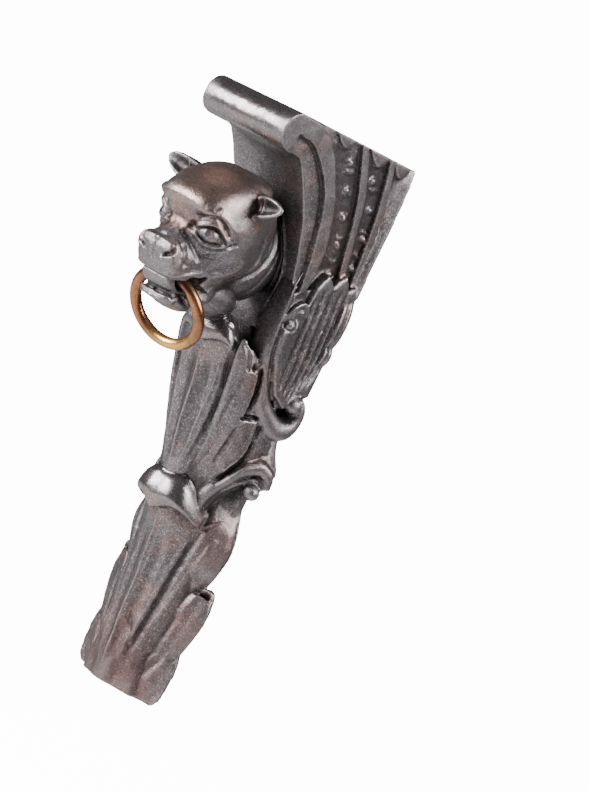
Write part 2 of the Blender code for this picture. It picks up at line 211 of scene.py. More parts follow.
print("console lumps:", len(clay))

# %% [markdown]
# ## Bands, scrolls and knobs
# The console's front corner grows into a rounded band that hooks round under a palmette. A second
# band rises from behind the knee to meet it. A band follows a side-view line and changes its
# thickness on the way, so it is lofted: one rounded cross-section is set at each place on the line.

# %% Bands that follow a side-view line
BAND_STEPS, BAND_POINTS, BAND_BOXINESS = 5, 22, 2.6
BALL_POINTS = 32
POLE = 0.04  # radians from a ball's pole to its first ring


def band(stations):
    """Stations give out, down, half-thickness, and the inner and outer places across."""
    line = flow(stations, BAND_STEPS)
    turn = np.linspace(0, 2 * np.pi, BAND_POINTS, endpoint=False)
    c, s = [np.sign(v) * np.abs(v) ** (2 / BAND_BOXINESS) for v in (np.cos(turn), np.sin(turn))]
    along = np.gradient(line[:, :2], axis=0)
    along /= np.linalg.norm(along, axis=1)[:, None]
    rings = []
    for (out, down, half, inner, outer), (d_out, d_down) in zip(line, along):
        across = (inner + outer) / 2 + (outer - inner) / 2 * c
        rings.append(np.column_stack([across, out - d_down * half * s, down + d_out * half * s]))
    lump(rings, mirror=True)


def ball(centre, radii, nose_down_deg=0.0, mirror=False, boxiness=2.0):
    """An egg, or a rounded block if boxiness is over 2. It may be tipped so that its front drops."""
    polar = np.linspace(POLE, np.pi - POLE, BALL_POINTS // 2)[:, None]
    turn = np.linspace(0, 2 * np.pi, BALL_POINTS, endpoint=False)[None]
    c, s, r, h = [np.sign(v) * np.abs(v) ** (2 / boxiness) for v in
                  (np.cos(turn), np.sin(turn), np.sin(polar), np.cos(polar))]
    y = radii[1] * r * s
    z = -radii[2] * h * np.ones_like(turn)
    tilt = math.radians(nose_down_deg)
    rings = np.stack([centre[0] + radii[0] * r * c,
                      centre[1] + y * math.cos(tilt) - z * math.sin(tilt),
                      centre[2] + y * math.sin(tilt) + z * math.cos(tilt)], -1)
    lump(rings, mirror)


UPPER_SCROLL, LOWER_SCROLL = (8.4, 134.6), (8.4, 184)
band([(46.5, 78, 1.2, 18, 28.8), (45.6, 95, 1.6, 16, 29.0), (43.6, 111, 2.3, 16, 29.4),
      (40.4, 120.5, 3.0, 15, 29.8), (36.6, 129.5, 4.2, 14, 30.6), (30.4, 138.4, 5.6, 12, 31.6),
      (22, 145.6, 6.8, 10, 33.2), (13.4, 149.4, 7.2, 10, 35), (6.6, 147.6, 6.4, 10, 36),
      (3.6, 141.4, 5.0, 10, 36.2), (4.4, 134.6, 4.0, 12, 36), (8, 130.4, 3.0, 14, 34.6)])
band([(22.5, 206, 2.2, 6, 18.6), (24.6, 197, 3.0, 8, 20.6), (23.4, 189.6, 3.8, 9, 23.6),
      (20.8, 181.6, 4.3, 10, 27.4), (16.4, 174.8, 4.8, 12, 31.4), (10, 171, 5.0, 14, 35),
      (4.6, 173.5, 4.6, 14, 37.0), (2.6, 180, 3.4, 16, 37.2)])
band([(19, 203, 1.6, 6, 18), (17.6, 192.5, 2.0, 8, 20.8), (14.8, 185, 2.3, 10, 25),
      (11.5, 180.0, 2.4, 14, 29.6), (7, 178.2, 2.2, 16, 33.4), (4, 181, 1.8, 18, 35)])
ball((30.4, *UPPER_SCROLL), (5.2, 5.0, 5.0), mirror=True)
ball((31.4, *LOWER_SCROLL), (5.0, 4.6, 4.4), mirror=True)
rings = []
for down, half, out in flow([(142, 24, 12), (152, 26, 12), (158, 27.4, 13), (163, 30, 14), (168, 33.6, 14),
                             (172.4, 35.6, 12)], 4):
    rings.append([(-half, 0, down), (-half, out * 0.4, down), (2 - half, out * 0.75, down),
                  (8 - half, out, down), (half - 8, out, down), (half - 2, out * 0.75, down),
                  (half, out * 0.4, down), (half, 0, down)])
lump(rings)

stem = [(120, 24, 40), (150, 25, 30), (163, 27.5, 19), (180, 27, 17), (192, 26, 20), (206, 27.5, 17),
        (222, 28, 13), (245, 26, 12), (285, 24, 9), (308, 24, 8)]
rings = []
for down, half, out in flow(stem, 4):
    widths = np.array([-1, -1, -0.72, 0, 0.72, 1, 1]) * half
    depths = np.array([0, 0.3, 0.85, 1, 0.85, 0.3, 0]) * out
    rings.append(np.column_stack([widths, depths, np.full(7, down)]))
lump(rings)
print("with scrolls and stem:", len(clay))

# %% [markdown]
# ## Raised lines
# The rims of the palmettes' hoods and some fine veins are thin raised lines that follow a path. One
# Geometry Nodes tree makes all of them: it reads a wire of edges, turns it into curves, and sweeps a
# circle along them whose size comes from an attribute on the wire. Changing a line then means
# changing one short list.

# %% The tree that sweeps raised lines


def node_link(tree, kind, links=(), **values):
    """A new node. Inputs are set by name or number, from values or from other nodes' outputs. The
    values are the node's own settings."""
    node = tree.nodes.new(kind)
    for name, value in values.items():
        setattr(node, name, value)
    for name, source in links:
        if isinstance(source, bpy.types.NodeSocket):
            tree.links.new(source, node.inputs[name])
        else:
            node.inputs[name].default_value = source
    return node


def geometry_tree(name, inputs):
    """A tree with named inputs. Gives the tree, the inputs' sockets and their identifiers."""
    tree = bpy.data.node_groups.new(name, "GeometryNodeTree")
    tree.interface.new_socket("Geometry", in_out="OUTPUT", socket_type="NodeSocketGeometry")
    keys = {}
    for label, kind in inputs.items():
        socket = tree.interface.new_socket(label, in_out="INPUT", socket_type="NodeSocket" + kind)
        keys[label] = socket.identifier
    return tree, tree.nodes.new("NodeGroupInput").outputs, keys


def end_tree(tree, geometry, finish):
    """Makes the instances real, gives them their material and hands them out."""
    real = node_link(tree, "GeometryNodeRealizeInstances", [("Geometry", geometry)])
    done = node_link(tree, "GeometryNodeSetMaterial",
                     [("Geometry", real.outputs["Geometry"]), ("Material", finish)])
    node_link(tree, "NodeGroupOutput", [("Geometry", done.outputs["Geometry"])])


def run_tree(obj, tree, keys, inputs):
    """Runs a tree on an object, and keeps the mesh that it makes."""
    maker = obj.modifiers.new(tree.name, "NODES")
    maker.node_group = tree
    for label, value in inputs.items():
        maker[keys[label]] = value
    return bake(obj)


iron = bpy.data.materials.new("patinated_iron")
copper = bpy.data.materials.new("worn_copper")
LINE_INPUTS = {"Geometry": "Geometry", "Sides": "Int", "Finish": "Material"}
line_tree, into, line_keys = geometry_tree("raised_lines", LINE_INPUTS)
girth = node_link(line_tree, "GeometryNodeInputNamedAttribute", [("Name", "girth")], data_type="FLOAT")
curves = node_link(line_tree, "GeometryNodeMeshToCurve", [("Mesh", into["Geometry"])])
section = node_link(line_tree, "GeometryNodeCurvePrimitiveCircle",
                    [("Resolution", into["Sides"]), ("Radius", 1.0)])
swept = node_link(line_tree, "GeometryNodeCurveToMesh",
                  [("Curve", curves.outputs["Curve"]), ("Profile Curve", section.outputs["Curve"]),
                   ("Scale", girth.outputs["Attribute"]), ("Fill Caps", True)])
end_tree(line_tree, swept.outputs["Mesh"], into["Finish"])
THINNEST_LINE, LINE_SIDES = 0.12, 10
wires = []


def rib(stations):
    """Notes one raised line and its mirror image. Stations give across, out, down and radius."""
    line = flow(stations, 6)
    line[:, 3] = np.maximum(line[:, 3], THINNEST_LINE)
    wires.extend([line, line * (-1, 1, 1, 1)])


def chain(lines):
    """The points of several lines in one array, and the edges that join each point to the next."""
    edges, start = [], 0
    for line in lines:
        edges += [(start + i, start + i + 1) for i in range(len(line) - 1)]
        start += len(line)
    return np.vstack(lines), edges


def sweep_wires(name):
    """All the noted lines as one mesh of closed tubes."""
    points, edges = chain(wires)
    obj = mesh_object(name, place(points[:, :3]), edges=edges)
    obj.data.attributes.new("girth", "FLOAT", "POINT").data.foreach_set("value", points[:, 3] * MM)
    return run_tree(obj, line_tree, line_keys, {"Sides": LINE_SIDES, "Finish": iron})


print("line tree:", len(line_tree.nodes), "nodes")

# %% [markdown]
# The floors of the flutes carry small beads, one after another like seeds in a pod. Each row only
# needs its middle line and its spacing, so a second tree strings the beads along it and turns and
# sizes each one a little differently, as cutting by hand does.

# %% The tree that strings beads along the flutes
BEAD_GAP, BEAD_SIZE = 12.1, 1.7
FLUTE_MIDDLES = [[(48.5, 11), (42.6, 21.7), (37, 32.5), (31.5, 42.2), (26.8, 54.9), (24.4, 66)],
                 [(25.8, 14.3), (19.2, 25.1), (14.4, 34.9), (10.6, 46.5), (8.7, 58.6)]]
BEAD_INPUTS = {"Geometry": "Geometry", "Spacing": "Float", "Bead size": "Float", "Finish": "Material"}
bead_tree, into, bead_keys = geometry_tree("bead_row", BEAD_INPUTS)
line = node_link(bead_tree, "GeometryNodeMeshToCurve", [("Mesh", into["Geometry"])])
spaced = node_link(bead_tree, "GeometryNodeResampleCurve",
                   [("Curve", line.outputs["Curve"]), ("Length", into["Spacing"])], mode="LENGTH")
bead = node_link(bead_tree, "GeometryNodeMeshIcoSphere",
                 [("Radius", into["Bead size"]), ("Subdivisions", 3)])
size = node_link(bead_tree, "FunctionNodeRandomValue",
                 [("Seed", 4), ("Min", (0.7, 0.9, 0.6)), ("Max", (1.0, 1.5, 1.0))],
                 data_type="FLOAT_VECTOR")
turned = node_link(bead_tree, "FunctionNodeRandomValue",
                   [("Seed", 9), ("Min", (-0.7, -0.1, -0.1)), ("Max", (0.7, 0.1, 0.1))],
                   data_type="FLOAT_VECTOR")
strung = node_link(bead_tree, "GeometryNodeInstanceOnPoints",
                   [("Points", spaced.outputs["Curve"]), ("Instance", bead.outputs["Mesh"]),
                    ("Rotation", turned.outputs["Value"]), ("Scale", size.outputs["Value"])])
end_tree(bead_tree, strung.outputs["Instances"], into["Finish"])

rows = []
for middle in FLUTE_MIDDLES:
    for side in (-1, 1):
        rows.append([(side * (CORE_HALF_WIDTH + 0.3), *p) for p in flow(middle, 6)])
points, edges = chain(rows)
beads = mesh_object("flute_beads", place(points), edges=edges)
run_tree(beads, bead_tree, bead_keys,
         {"Spacing": BEAD_GAP * MM, "Bead size": BEAD_SIZE * MM, "Finish": iron})
print("bead points:", len(beads.data.vertices))

# %% [markdown]
# ## The leaves
# Both leaves have a keel down the middle and lobes that overlap along the sides like shingles. One
# surface describes the whole leaf, given as cross-sections from the keel round to the side. Each
# lobe is a patch of that surface with its own top, a thickness of its own and a fine rim. Neighbours
# then meet smoothly at the root and step apart at the tips, as on a real leaf.

# %% Leaf surfaces and patches
GRID_STEP = 0.5
LEAF_GRID = np.arange(0, 42.1, GRID_STEP)
STEEPEST = -3.0  # how fast a leaf may fall away beyond its last place
LEVEL_STEPS, PATCH_ROWS = 8, 90
EDGE_DROP, EDGE_WITHIN = 1.4, 0.35  # a lobe's edge is rounded off
RISE_WITHIN, RIM_AT, RIM_WIDTH = 0.7, 0.9, 0.8  # all measured from that edge
ROOT_SUNK = 2.6  # how far a side lobe dives under its neighbour


def leaf_surface(sections):
    """A function that gives `out` for places across and down, from cross-sections at some levels."""
    rows = []
    for down, places in sections.items():
        across, out = np.array(places, float).T
        fall = max((out[-1] - out[-2]) / (across[-1] - across[-2]), STEEPEST)
        reach = np.interp(LEAF_GRID, across, out)
        beyond = LEAF_GRID > across[-1]
        reach[beyond] = out[-1] + fall * (LEAF_GRID[beyond] - across[-1])
        rows.append([down, *reach])
    rows = flow(rows, LEVEL_STEPS)

    def surface(across, down):
        row = np.interp(down, rows[:, 0], np.arange(len(rows)))
        column = np.clip(np.abs(across) / GRID_STEP, 0, len(LEAF_GRID) - 1.001)
        i, j = np.minimum(row.astype(int), len(rows) - 2), column.astype(int)
        u, v = row - i, column - j
        table = rows[:, 1:]
        over = table[i, j] * (1 - v) + table[i, j + 1] * v
        under = table[i + 1, j] * (1 - v) + table[i + 1, j + 1] * v
        return over * (1 - u) + under * u

    return surface


def patch(surface, edges, tip, back, rise, rim=0.0, both=True, curl=0.0, columns=41):
    """A lobe of a leaf. Edges give down and the two places across, with the rounded top first.

    Tip is how far the top rounds off, rise lifts the lobe off the surface, rim raises its border and
    back is where it ends towards the wall. The tip is thin and may curl outwards. A side lobe sinks
    under its neighbour at the root."""
    edges = np.array(edges, float)
    top, bottom = edges[0, 0], edges[-1, 0]
    rings = []
    for share in np.linspace(-1, 1, columns):
        start = top + tip * (1 - math.sqrt(max(1 - share**2, 0)))
        down = np.minimum(start + (bottom - start) * np.linspace(0, 1, PATCH_ROWS) ** 1.2, HEIGHT)
        left, right = (np.interp(down, edges[:, 0], edges[:, k]) for k in (1, 2))
        across = (left + right) / 2 + (right - left) / 2 * share
        from_side = (1 - (share if both else abs(share))) * (right - left) / 2
        from_rim = np.minimum(from_side, (down - start) * 0.9)
        lift = rise * (1 - np.exp(-from_rim / RISE_WITHIN))
        lift = lift + rim * np.exp(-(((from_rim - RIM_AT) / RIM_WIDTH) ** 2))
        lift -= EDGE_DROP * np.exp(-from_rim / EDGE_WITHIN)
        if both:
            along = (down - top) / (bottom - top)
            sunk = np.clip((-0.1 - share) / 0.6, 0, 1) + np.clip((along - 0.5) / 0.4, 0, 1)
            lift -= ROOT_SUNK * np.minimum(sunk, 1)
        lift += curl * np.exp(-(down - start) / 3.0)
        out = np.maximum(surface(across, down) + lift, 2.2)
        thickness = 2.4 + 1.4 * np.maximum(down - start - 2, 0)
        under = np.minimum(out - 0.3, np.maximum(back, out - thickness))
        front = np.column_stack([across, out, down])
        behind = np.column_stack([across, np.maximum(under, 0.0), down])[::-6]
        rings.append(np.vstack([front, behind]))
    lump(rings, mirror=both)


print("leaf tools ready")

# %% [markdown]
# The upper leaf hangs under the throat. Its tip is rolled over outwards, so that it looks like a
# polished chest, and its side lobes each have a second, lower rim behind them.

# %% The upper leaf
upper = leaf_surface({
    104: [(0, 64), (8, 63), (14, 61), (17, 59), (20, 57.6), (24, 55), (27, 50), (28, 43), (28.4, 34)],
    120: [(0, 60), (8, 58.8), (14, 57.4), (17, 55.8), (20, 55.4), (24, 52.6), (27, 47.2), (28, 41),
          (28.4, 34)],
    128: [(0, 57.4), (8, 56), (13, 55.2), (16.6, 53.4), (20, 53.4), (24, 50.4), (27, 45), (28.2, 39),
          (28.6, 32)],
    138: [(0, 53.6), (7, 52.4), (12.4, 52), (16.8, 50.2), (20, 50), (24.4, 46), (27.2, 40.4), (28.4, 34),
          (28.8, 28)],
    148: [(0, 51.2), (6.5, 49.8), (11.4, 49.4), (16, 47.4), (20, 46.2), (24.4, 42), (27, 36.6),
          (28.4, 30.6), (28.8, 25)],
    160: [(0, 48.4), (6, 46.8), (9.4, 46.6), (14.2, 44.2), (18.4, 42), (22.6, 38), (25.6, 33), (27.6, 27),
          (28, 22)],
    170: [(0, 45.4), (5, 44.2), (8, 43.8), (12.6, 41.4), (16.6, 38.8), (20.6, 35.2), (23.9, 30.4),
          (26.4, 25), (27, 20)],
    180: [(0, 42.4), (4, 41.6), (6.4, 41), (10, 38.8), (14, 36), (17.8, 32.8), (21, 28.6), (23.8, 24),
          (24.6, 19)],
    190: [(0, 39.2), (3.4, 38.6), (5, 38), (7.6, 36.4), (11, 33.6), (14.6, 30.8), (17.6, 27.6), (20.4, 24),
          (21.4, 19)],
    202: [(0, 35), (3, 34.6), (5, 34), (7, 33), (10, 30), (13, 28), (16, 26), (19, 22), (20, 18)],
})
patch(upper, [(112, -17, 17), (142, -17, 17), (153, -15.4, 15.4), (168, -13, 13), (180, -10.4, 10.4),
              (198, -7, 7)], tip=3, back=12, both=False, rise=0.5, columns=61)
patch(upper, [(112.8, 18.8, 22.4), (114.8, 17.6, 24.0), (118, 16.6, 25.2), (123, 15.4, 26.4),
              (130, 14.4, 26.8), (142, 13, 25.8), (153, 12, 24), (170, 10, 20), (198, 4, 13)],
      tip=2.2, rise=0.7, rim=0.35, back=24, curl=0.3)
patch(upper, [(126.4, 25.2, 27.0), (128.4, 24.2, 28.0), (132, 22.8, 28.8), (138, 21.4, 29),
              (146, 20.4, 28.2), (153, 19.4, 26.8), (160, 18, 25.2), (176, 14, 20.6), (198, 8, 15)],
      tip=2.0, rise=1.3, rim=0.4, back=16, curl=0.4)
patch(upper, [(150.2, 25.4, 30.0), (153, 25.0, 30.4), (162, 23.4, 30.4), (171, 21, 28.6), (180, 17.6, 25.4),
              (190, 14, 21.4), (200, 11, 18)], tip=1.0, rise=1.9, rim=0.9, back=8, curl=0.6)


def plate(outline, thick=3):
    """A wall behind a lobe. The outline gives across, down and out along its top edge."""
    line = flow(outline, 6)
    top = np.column_stack([line[:, 0], line[:, 2], line[:, 1]])
    foot = top + (0, -9, 14)
    foot[:, 0] = top[:, 0] * 0.7 + top[:, 0].mean() * 0.3
    rings = [top - (0, thick, 0.0), top - (0, thick / 2, 0.8), top, foot, foot - (0, thick, 0)]
    lump(np.transpose(np.array(rings), (1, 0, 2)), mirror=True)


plate([(9, 106.6, 42), (14, 106.0, 43.6), (18, 108.4, 44.4), (21.6, 113.2, 44.6), (25, 119.6, 44),
       (27, 126, 42.4)])
plate([(22.6, 126.4, 41), (24.2, 122.4, 40.4), (26.4, 121.4, 39.2), (28.4, 123.6, 37.2), (29.4, 129, 35.2),
       (29.4, 135, 33.2)])
plate([(26.4, 148, 36), (27.6, 146.2, 34), (29.2, 145.6, 30), (30, 146.6, 26), (30, 150, 24)])


def rolled_cap(stations, inside):
    """A leaf's tip, rolled over outwards. Stations give across, then out and down at the top, at the
    fullest place and at the lip, and how far the lip is undercut. It narrows towards the wall."""
    rings = []
    for across, top_out, top, full_out, full, lip_out, lip, under in flow(stations, 6):
        above = flow([(top_out, top), (top_out + (full_out - top_out) * 0.74, top + (full - top) * 0.4),
                      (full_out, full), ((full_out + lip_out) / 2 + 0.6, (full + lip) / 2 + 0.4),
                      (lip_out, lip)], 5)
        below = [(lip_out - 1.3, lip + 0.5), (lip_out - under, lip - 0.6), (inside, lip + 1), (inside, top)]
        outline = np.vstack([above, below])
        behind = np.clip((full_out - outline[:, 0]) / 15, 0, 1)
        rings.append(np.column_stack([across * (1 - 0.32 * behind), outline]))
    rings = np.array(rings)
    lump(np.concatenate([rings[:0:-1] * (-1, 1, 1), rings]))


rolled_cap([(0, 60, 105, 66.2, 115, 63.6, 123.4, 5), (5, 59.6, 105, 66.0, 114.8, 63.4, 121.4, 5),
            (9, 58.4, 105.4, 65.4, 114.4, 62.8, 119.8, 5), (12.6, 57.4, 107.2, 64.2, 114.4, 61.8, 119.0, 5),
            (15.2, 57, 110.4, 62.6, 115.4, 61.0, 119.0, 5), (17, 56.5, 114, 60.4, 117.2, 59.4, 119.8, 4),
            (17.8, 56, 117.4, 58, 119.2, 57.6, 120.8, 3)], 51)
print("with the upper leaf:", len(clay))

# %% [markdown]
# The lower leaf lies against the wall. Its rolled tip makes the polished knee, and its lobes step
# outwards beyond the stem, so that they make the outline from every side.

# %% The lower leaf and the knee
lower = leaf_surface({
    190: [(0, 30), (8, 29), (15, 22), (18, 17), (20, 13), (22.4, 8), (24.4, 4), (25, 2)],
    197: [(0, 30), (8, 29), (15, 23), (18, 18), (21, 14), (24, 8.6), (26, 4), (26.6, 2)],
    206: [(0, 30.6), (8, 29), (15, 24), (19, 18.6), (22.4, 15), (27, 9.4), (30, 5), (31.4, 2)],
    214: [(0, 29.8), (8, 27.8), (15, 22.4), (19, 18.4), (22.4, 16.0), (28, 10.2), (31.4, 4.6), (32.6, 2)],
    222: [(0, 27.2), (8, 25), (14.5, 20.5), (18.6, 17.0), (22, 15.6), (28.4, 10.2), (32, 4), (33.2, 1.5)],
    230: [(0, 25.2), (8, 23), (13.5, 19.5), (17.4, 16.2), (21.5, 14.8), (28, 9.4), (31.6, 3.6), (33, 1)],
    238: [(0, 23.8), (7.5, 21.8), (13, 18.6), (16, 16.0), (20.5, 14), (26, 9), (30, 4), (32.6, 1.2)],
    246: [(0, 22.6), (7, 20.8), (12.4, 17.8), (15.3, 15.4), (19.5, 13.2), (24, 9.2), (30, 5.2),
          (36.4, 1.6)],
    254: [(0, 21.6), (6.8, 19.8), (11.8, 17), (14.6, 14.8), (18.6, 12.6), (22.8, 9.4), (30, 5.2),
          (36.8, 1.4)],
    264: [(0, 20.6), (6.4, 18.8), (11, 16.2), (13.4, 14.2), (17.4, 12.2), (21, 9.2), (28, 5.4), (36, 1.2)],
    276: [(0, 19.0), (6, 17.6), (9.8, 15.4), (11.8, 13.6), (15.8, 11.8), (19.4, 8.8), (26, 5.2), (33, 1.2)],
    290: [(0, 17), (5, 15.8), (8, 14.2), (9.6, 12.6), (14, 11), (18.4, 8.4), (25, 5), (33, 1.2)],
    300: [(0, 15.2), (4.4, 14.4), (6.4, 13), (7.8, 11.8), (13, 10.4), (18.6, 8.2), (24.4, 5), (31, 1.0)],
    310: [(0, 14), (4, 13.4), (5.4, 12.4), (6.4, 11.6), (12.6, 10), (19, 8), (24, 4.6), (29, 0.6)],
})
patch(lower, [(204, -20, 20), (246, -24.6, 24.6), (254, -23.6, 23.6), (276, -20.4, 20.4),
              (290, -19.4, 19.4), (309, -20.6, 20.6)], tip=0, back=0, both=False, rise=0.9, columns=71)
patch(lower, [(189, 21, 24.0), (194, 18, 25.4), (200, 16, 27.6), (206, 16, 30.2), (212, 16, 32),
              (222, 16, 31), (240, 16, 24)], tip=1.4, back=0, rise=0.2)
patch(lower, [(203.4, 25.2, 27.8), (205.4, 23.2, 29.2), (208, 20.8, 30.6), (211, 18.4, 31.6),
              (216, 16, 32.6), (222, 14.6, 32.6), (230, 13, 31.2), (236, 12, 29.4), (242, 11, 27.0),
              (256, 10, 24)], tip=1.2, rise=1.2, rim=0.5, back=0)
patch(lower, [(243.4, 25, 33.6), (246, 22, 36.2), (250, 19, 37.4), (255, 17, 37.4), (262, 15.6, 36.3),
              (270, 14.4, 34.2), (278, 13, 31.6), (286, 12, 29.4), (306, 11, 26)],
      tip=1.6, rise=1.4, rim=0.3, back=0)
patch(lower, [(280.6, 25, 32.6), (283, 22, 33.8), (287, 19, 34.2), (292, 16.6, 34), (300, 14, 33.4),
              (304.4, 13.4, 32.4), (307.4, 13, 29.6), (311, 12, 24)], tip=1.2, rise=1.2, rim=0.3, back=0)
plate([(26.6, 245, 5.6), (28, 241.4, 5.0), (31, 239.6, 4.2), (34.4, 241, 3.4), (36.0, 245.6, 3.0)], thick=6)
plate([(27.4, 281.6, 4.4), (29.4, 278.2, 3.8), (31.6, 277.8, 3.2), (33.0, 281.6, 3.0)], thick=5)
rolled_cap([(0, 36, 190, 41.8, 203, 39.4, 212.8, 7), (5, 35.8, 190, 42.0, 203, 38.6, 210.6, 7),
            (10, 34, 190.4, 40.8, 203, 37.4, 208.2, 7), (14, 31, 191.6, 38.4, 203.4, 36.2, 207.4, 7),
            (17, 27, 194.4, 35, 204.4, 33.6, 208.2, 7), (19, 22.5, 198, 31, 206, 30, 209.4, 6),
            (20.4, 19, 202, 26.4, 208, 25.6, 211.2, 4), (21, 16.5, 206, 21, 209.6, 20.4, 212.4, 3)], 10)
print("with the lower leaf:", len(clay))

# %% [markdown]
# ## The palmette
# A fan of pointed leaflets covers the foot of the flutes on each side, and all of them spring from
# the scroll's knob. The list of their tips makes one outline, which is lofted outwards and rounded
# off. Grooves part the leaflets later.

# %% The palmette's ground and its leaflets
ground = flow([(30, 76), (41, 79), (45.6, 85), (45, 98), (41, 116), (33, 130), (24, 136)], 4).tolist()
ground += [(14, 136), (0, 135), (0, 74)]
slab(ground, ROOT, HALF_WIDTH - 0.6, mirror=True)
fan = [(33.8, 86), (32.9, 75.1), (30.6, 70.6), (28.3, 66.9), (24.8, 68.9), (21.3, 71.7), (18.9, 67.7),
       (14.8, 63.7), (11.3, 67.1), (8.9, 70.6), (6.5, 68.7), (4.2, 67.3), (1.8, 71.3), (0, 74), (0, 128),
       (8, 133), (15, 138), (25, 133), (31, 126), (38, 115), (41, 105), (42, 97), (42.3, 90), (40.4, 86.6),
       (36.9, 84.4)]
fan = np.array(fan)
rings = []
for across, grown in ((ROOT, 0.9), (29.6, 0.9), (30.8, 0.2), (31.2, -0.7)):
    ahead = np.roll(fan, -1, 0) - np.roll(fan, 1, 0)
    outwards = np.stack([-ahead[:, 1], ahead[:, 0]], -1) / np.linalg.norm(ahead, axis=1)[:, None]
    edge = fan + outwards * grown * np.where(fan[:, :1] < 0.5, 0, 1)
    rings.append(np.column_stack([np.full(len(fan), across), np.maximum(edge[:, 0], 0), edge[:, 1]]))
lump(rings, mirror=True)
ball((28.6, 3, 88), (5.0, 8.0, 16.0), mirror=True)
ball((28.6, 2.4, 105), (4.6, 6.5, 6.4), mirror=True)
ball((28.0, 37.4, 97.2), (5.0, 5.2, 5.0), mirror=True)
HOOD = [(28.6, 43.4, 97), (29.8, 43.2, 91), (30.8, 41, 87), (31.2, 37, 84.4), (31.2, 33.4, 87),
        (31, 31, 91)]
rib([(*p, 0.9) for p in HOOD])
rib([(31, 39.6, 91.4, 0.3), (31.4, 36.6, 89.0, 0.6), (31.4, 33.6, 90.4, 0.3)])
rib([(28.6, 47.0, 70.5, 0.3), (28.8, 48.4, 76.4, 0.6), (28.8, 48.0, 81, 0.5), (28.7, 46.6, 84.6, 0.3)])
rib([(28.0, 35.6, 66.6, 0.3), (28.4, 38.4, 70.4, 0.6), (28.4, 40.6, 73.6, 0.3)])
print("with the palmettes:", len(clay))

# %% [markdown]
# ## The beast's head
# The head is the part that everyone looks at. Skull, brow, cheeks and muzzle are one loft through
# cross-sections at many levels. Neck, throat, jaw and ears are laid against it and blended under a
# skin of their own, which is then cut through at the mouth, where the ring must swing.

# %% The head's masses
body_clay, clay = clay, []
FACE = {  # places across and out at each level down, from the middle of the face round to its side
    37.0: [(0, 95), (3, 94.6), (6, 93), (8, 90.5), (9, 88), (8, 85.5), (4, 83)],
    40: [(0, 101.8), (6, 101), (12, 97.4), (15.8, 92.4), (16.8, 87), (14.8, 81.5), (8, 77)],
    44: [(0, 107.7), (7, 107.2), (13.6, 104.2), (18.2, 98.8), (20.2, 92), (19, 84), (11, 74)],
    50: [(0, 116), (8, 115.4), (14.8, 112.5), (19.8, 106.5), (22.8, 98), (22.4, 86), (14, 68)],
    56: [(0, 121.8), (9, 120.8), (15.8, 117.2), (20.6, 110.5), (23.8, 101), (24, 88), (15, 65)],
    61: [(0, 123.6), (9, 123.0), (15.8, 120), (20.4, 114), (23.8, 104), (24.8, 90), (16, 65)],
    64: [(0, 121.6), (9, 121.6), (15.8, 119.8), (20.6, 114.2), (24, 104.8), (25, 90), (16, 65)],
    66.5: [(0, 119.4), (7, 119.6), (13, 118), (19, 113.2), (24, 104.8), (25.2, 90), (16, 65)],
    71: [(0, 117.2), (5, 117.2), (10, 116), (16.8, 111.4), (23.2, 103.6), (25.2, 89.5), (16, 65)],
    75: [(0, 117.6), (5, 117.2), (10, 115), (16.6, 110), (23, 102.4), (25, 88.5), (16, 65)],
    79: [(0, 120.2), (5.4, 119.2), (10.4, 115), (16.2, 109), (22.3, 101), (24.2, 87), (15.5, 65)],
    83: [(0, 123.4), (7.4, 122.4), (12.2, 117.2), (16, 109), (21, 100), (22.4, 87), (14, 66)],
    87: [(0, 125.8), (9.2, 125.0), (13.8, 120.6), (16, 110.4), (20, 99), (20, 87), (13, 68)],
    91: [(0, 125), (9.6, 123.8), (14, 119.6), (15.8, 109.8), (18.6, 98.6), (17.4, 87), (11, 70)],
    95: [(0, 123.4), (9.6, 122.2), (13.8, 118.4), (15.4, 109.4), (17.6, 98), (15.5, 87), (10, 70)],
    98.5: [(0, 121.2), (9, 119.8), (13, 116.4), (14.6, 108.5), (16, 98), (14.4, 87), (9, 70)],
    100.6: [(0, 118.6), (7.6, 117.6), (11.6, 114.6), (13.2, 108), (14.6, 98), (13.4, 87), (8, 70)],
}
rings = []
for down, *places in flow([[down, *np.ravel(places)] for down, places in FACE.items()], 4):
    half = flow(np.reshape(places, (-1, 2)), 5)
    loop = np.vstack([half, half[:0:-1] * (-1, 1)])
    rings.append(np.column_stack([loop, np.full(len(loop), down)]))
lump(rings)
ball((0, 66, 75), (16.6, 32.0, 27.0), 12)  # neck
ball((0, 78, 100.5), (15.0, 24.0, 12.0), -6)  # throat
rings = []
for down, front, half in ((97, 119.2, 12.2), (101.5, 118.4, 11.6), (104, 116.6, 10.4), (106.4, 114.0, 8.6)):
    rings.append([(-half, 98, down), (-half, front - 3, down), (-half + 2, front - 0.8, down),
                  (0, front, down), (half - 2, front - 0.8, down), (half, front - 3, down),
                  (half, 98, down)])
lump(rings)  # front teeth
ball((0, 99.0, 110), (12.2, 12.8, 5.2), -6)  # lower jaw
ball((0, 107.2, 110.4), (11.2, 5.2, 3.2), -4, boxiness=2.5)  # lower lip
ball((11.4, 93, 98.6), (5.8, 9.0, 8.6), 0, mirror=True)  # side of the jaw
EAR = [(16, 88, 53, 5.0, 6.6, 0), (20.5, 92, 51.4, 5.4, 7.0, 1.0), (25, 95, 50.2, 5.2, 6.8, 5.2),
       (31, 97.4, 49.2, 4.4, 6.0, 5.6), (37.4, 98.4, 48.0, 2.8, 3.8, 3.0), (41.2, 98.4, 47.4, 0.9, 1.0, 0)]
ear_rings = []
turn = np.linspace(0, 2 * np.pi, 40, endpoint=False)
facing = np.clip(np.cos(turn), 0, 1) ** 0.5
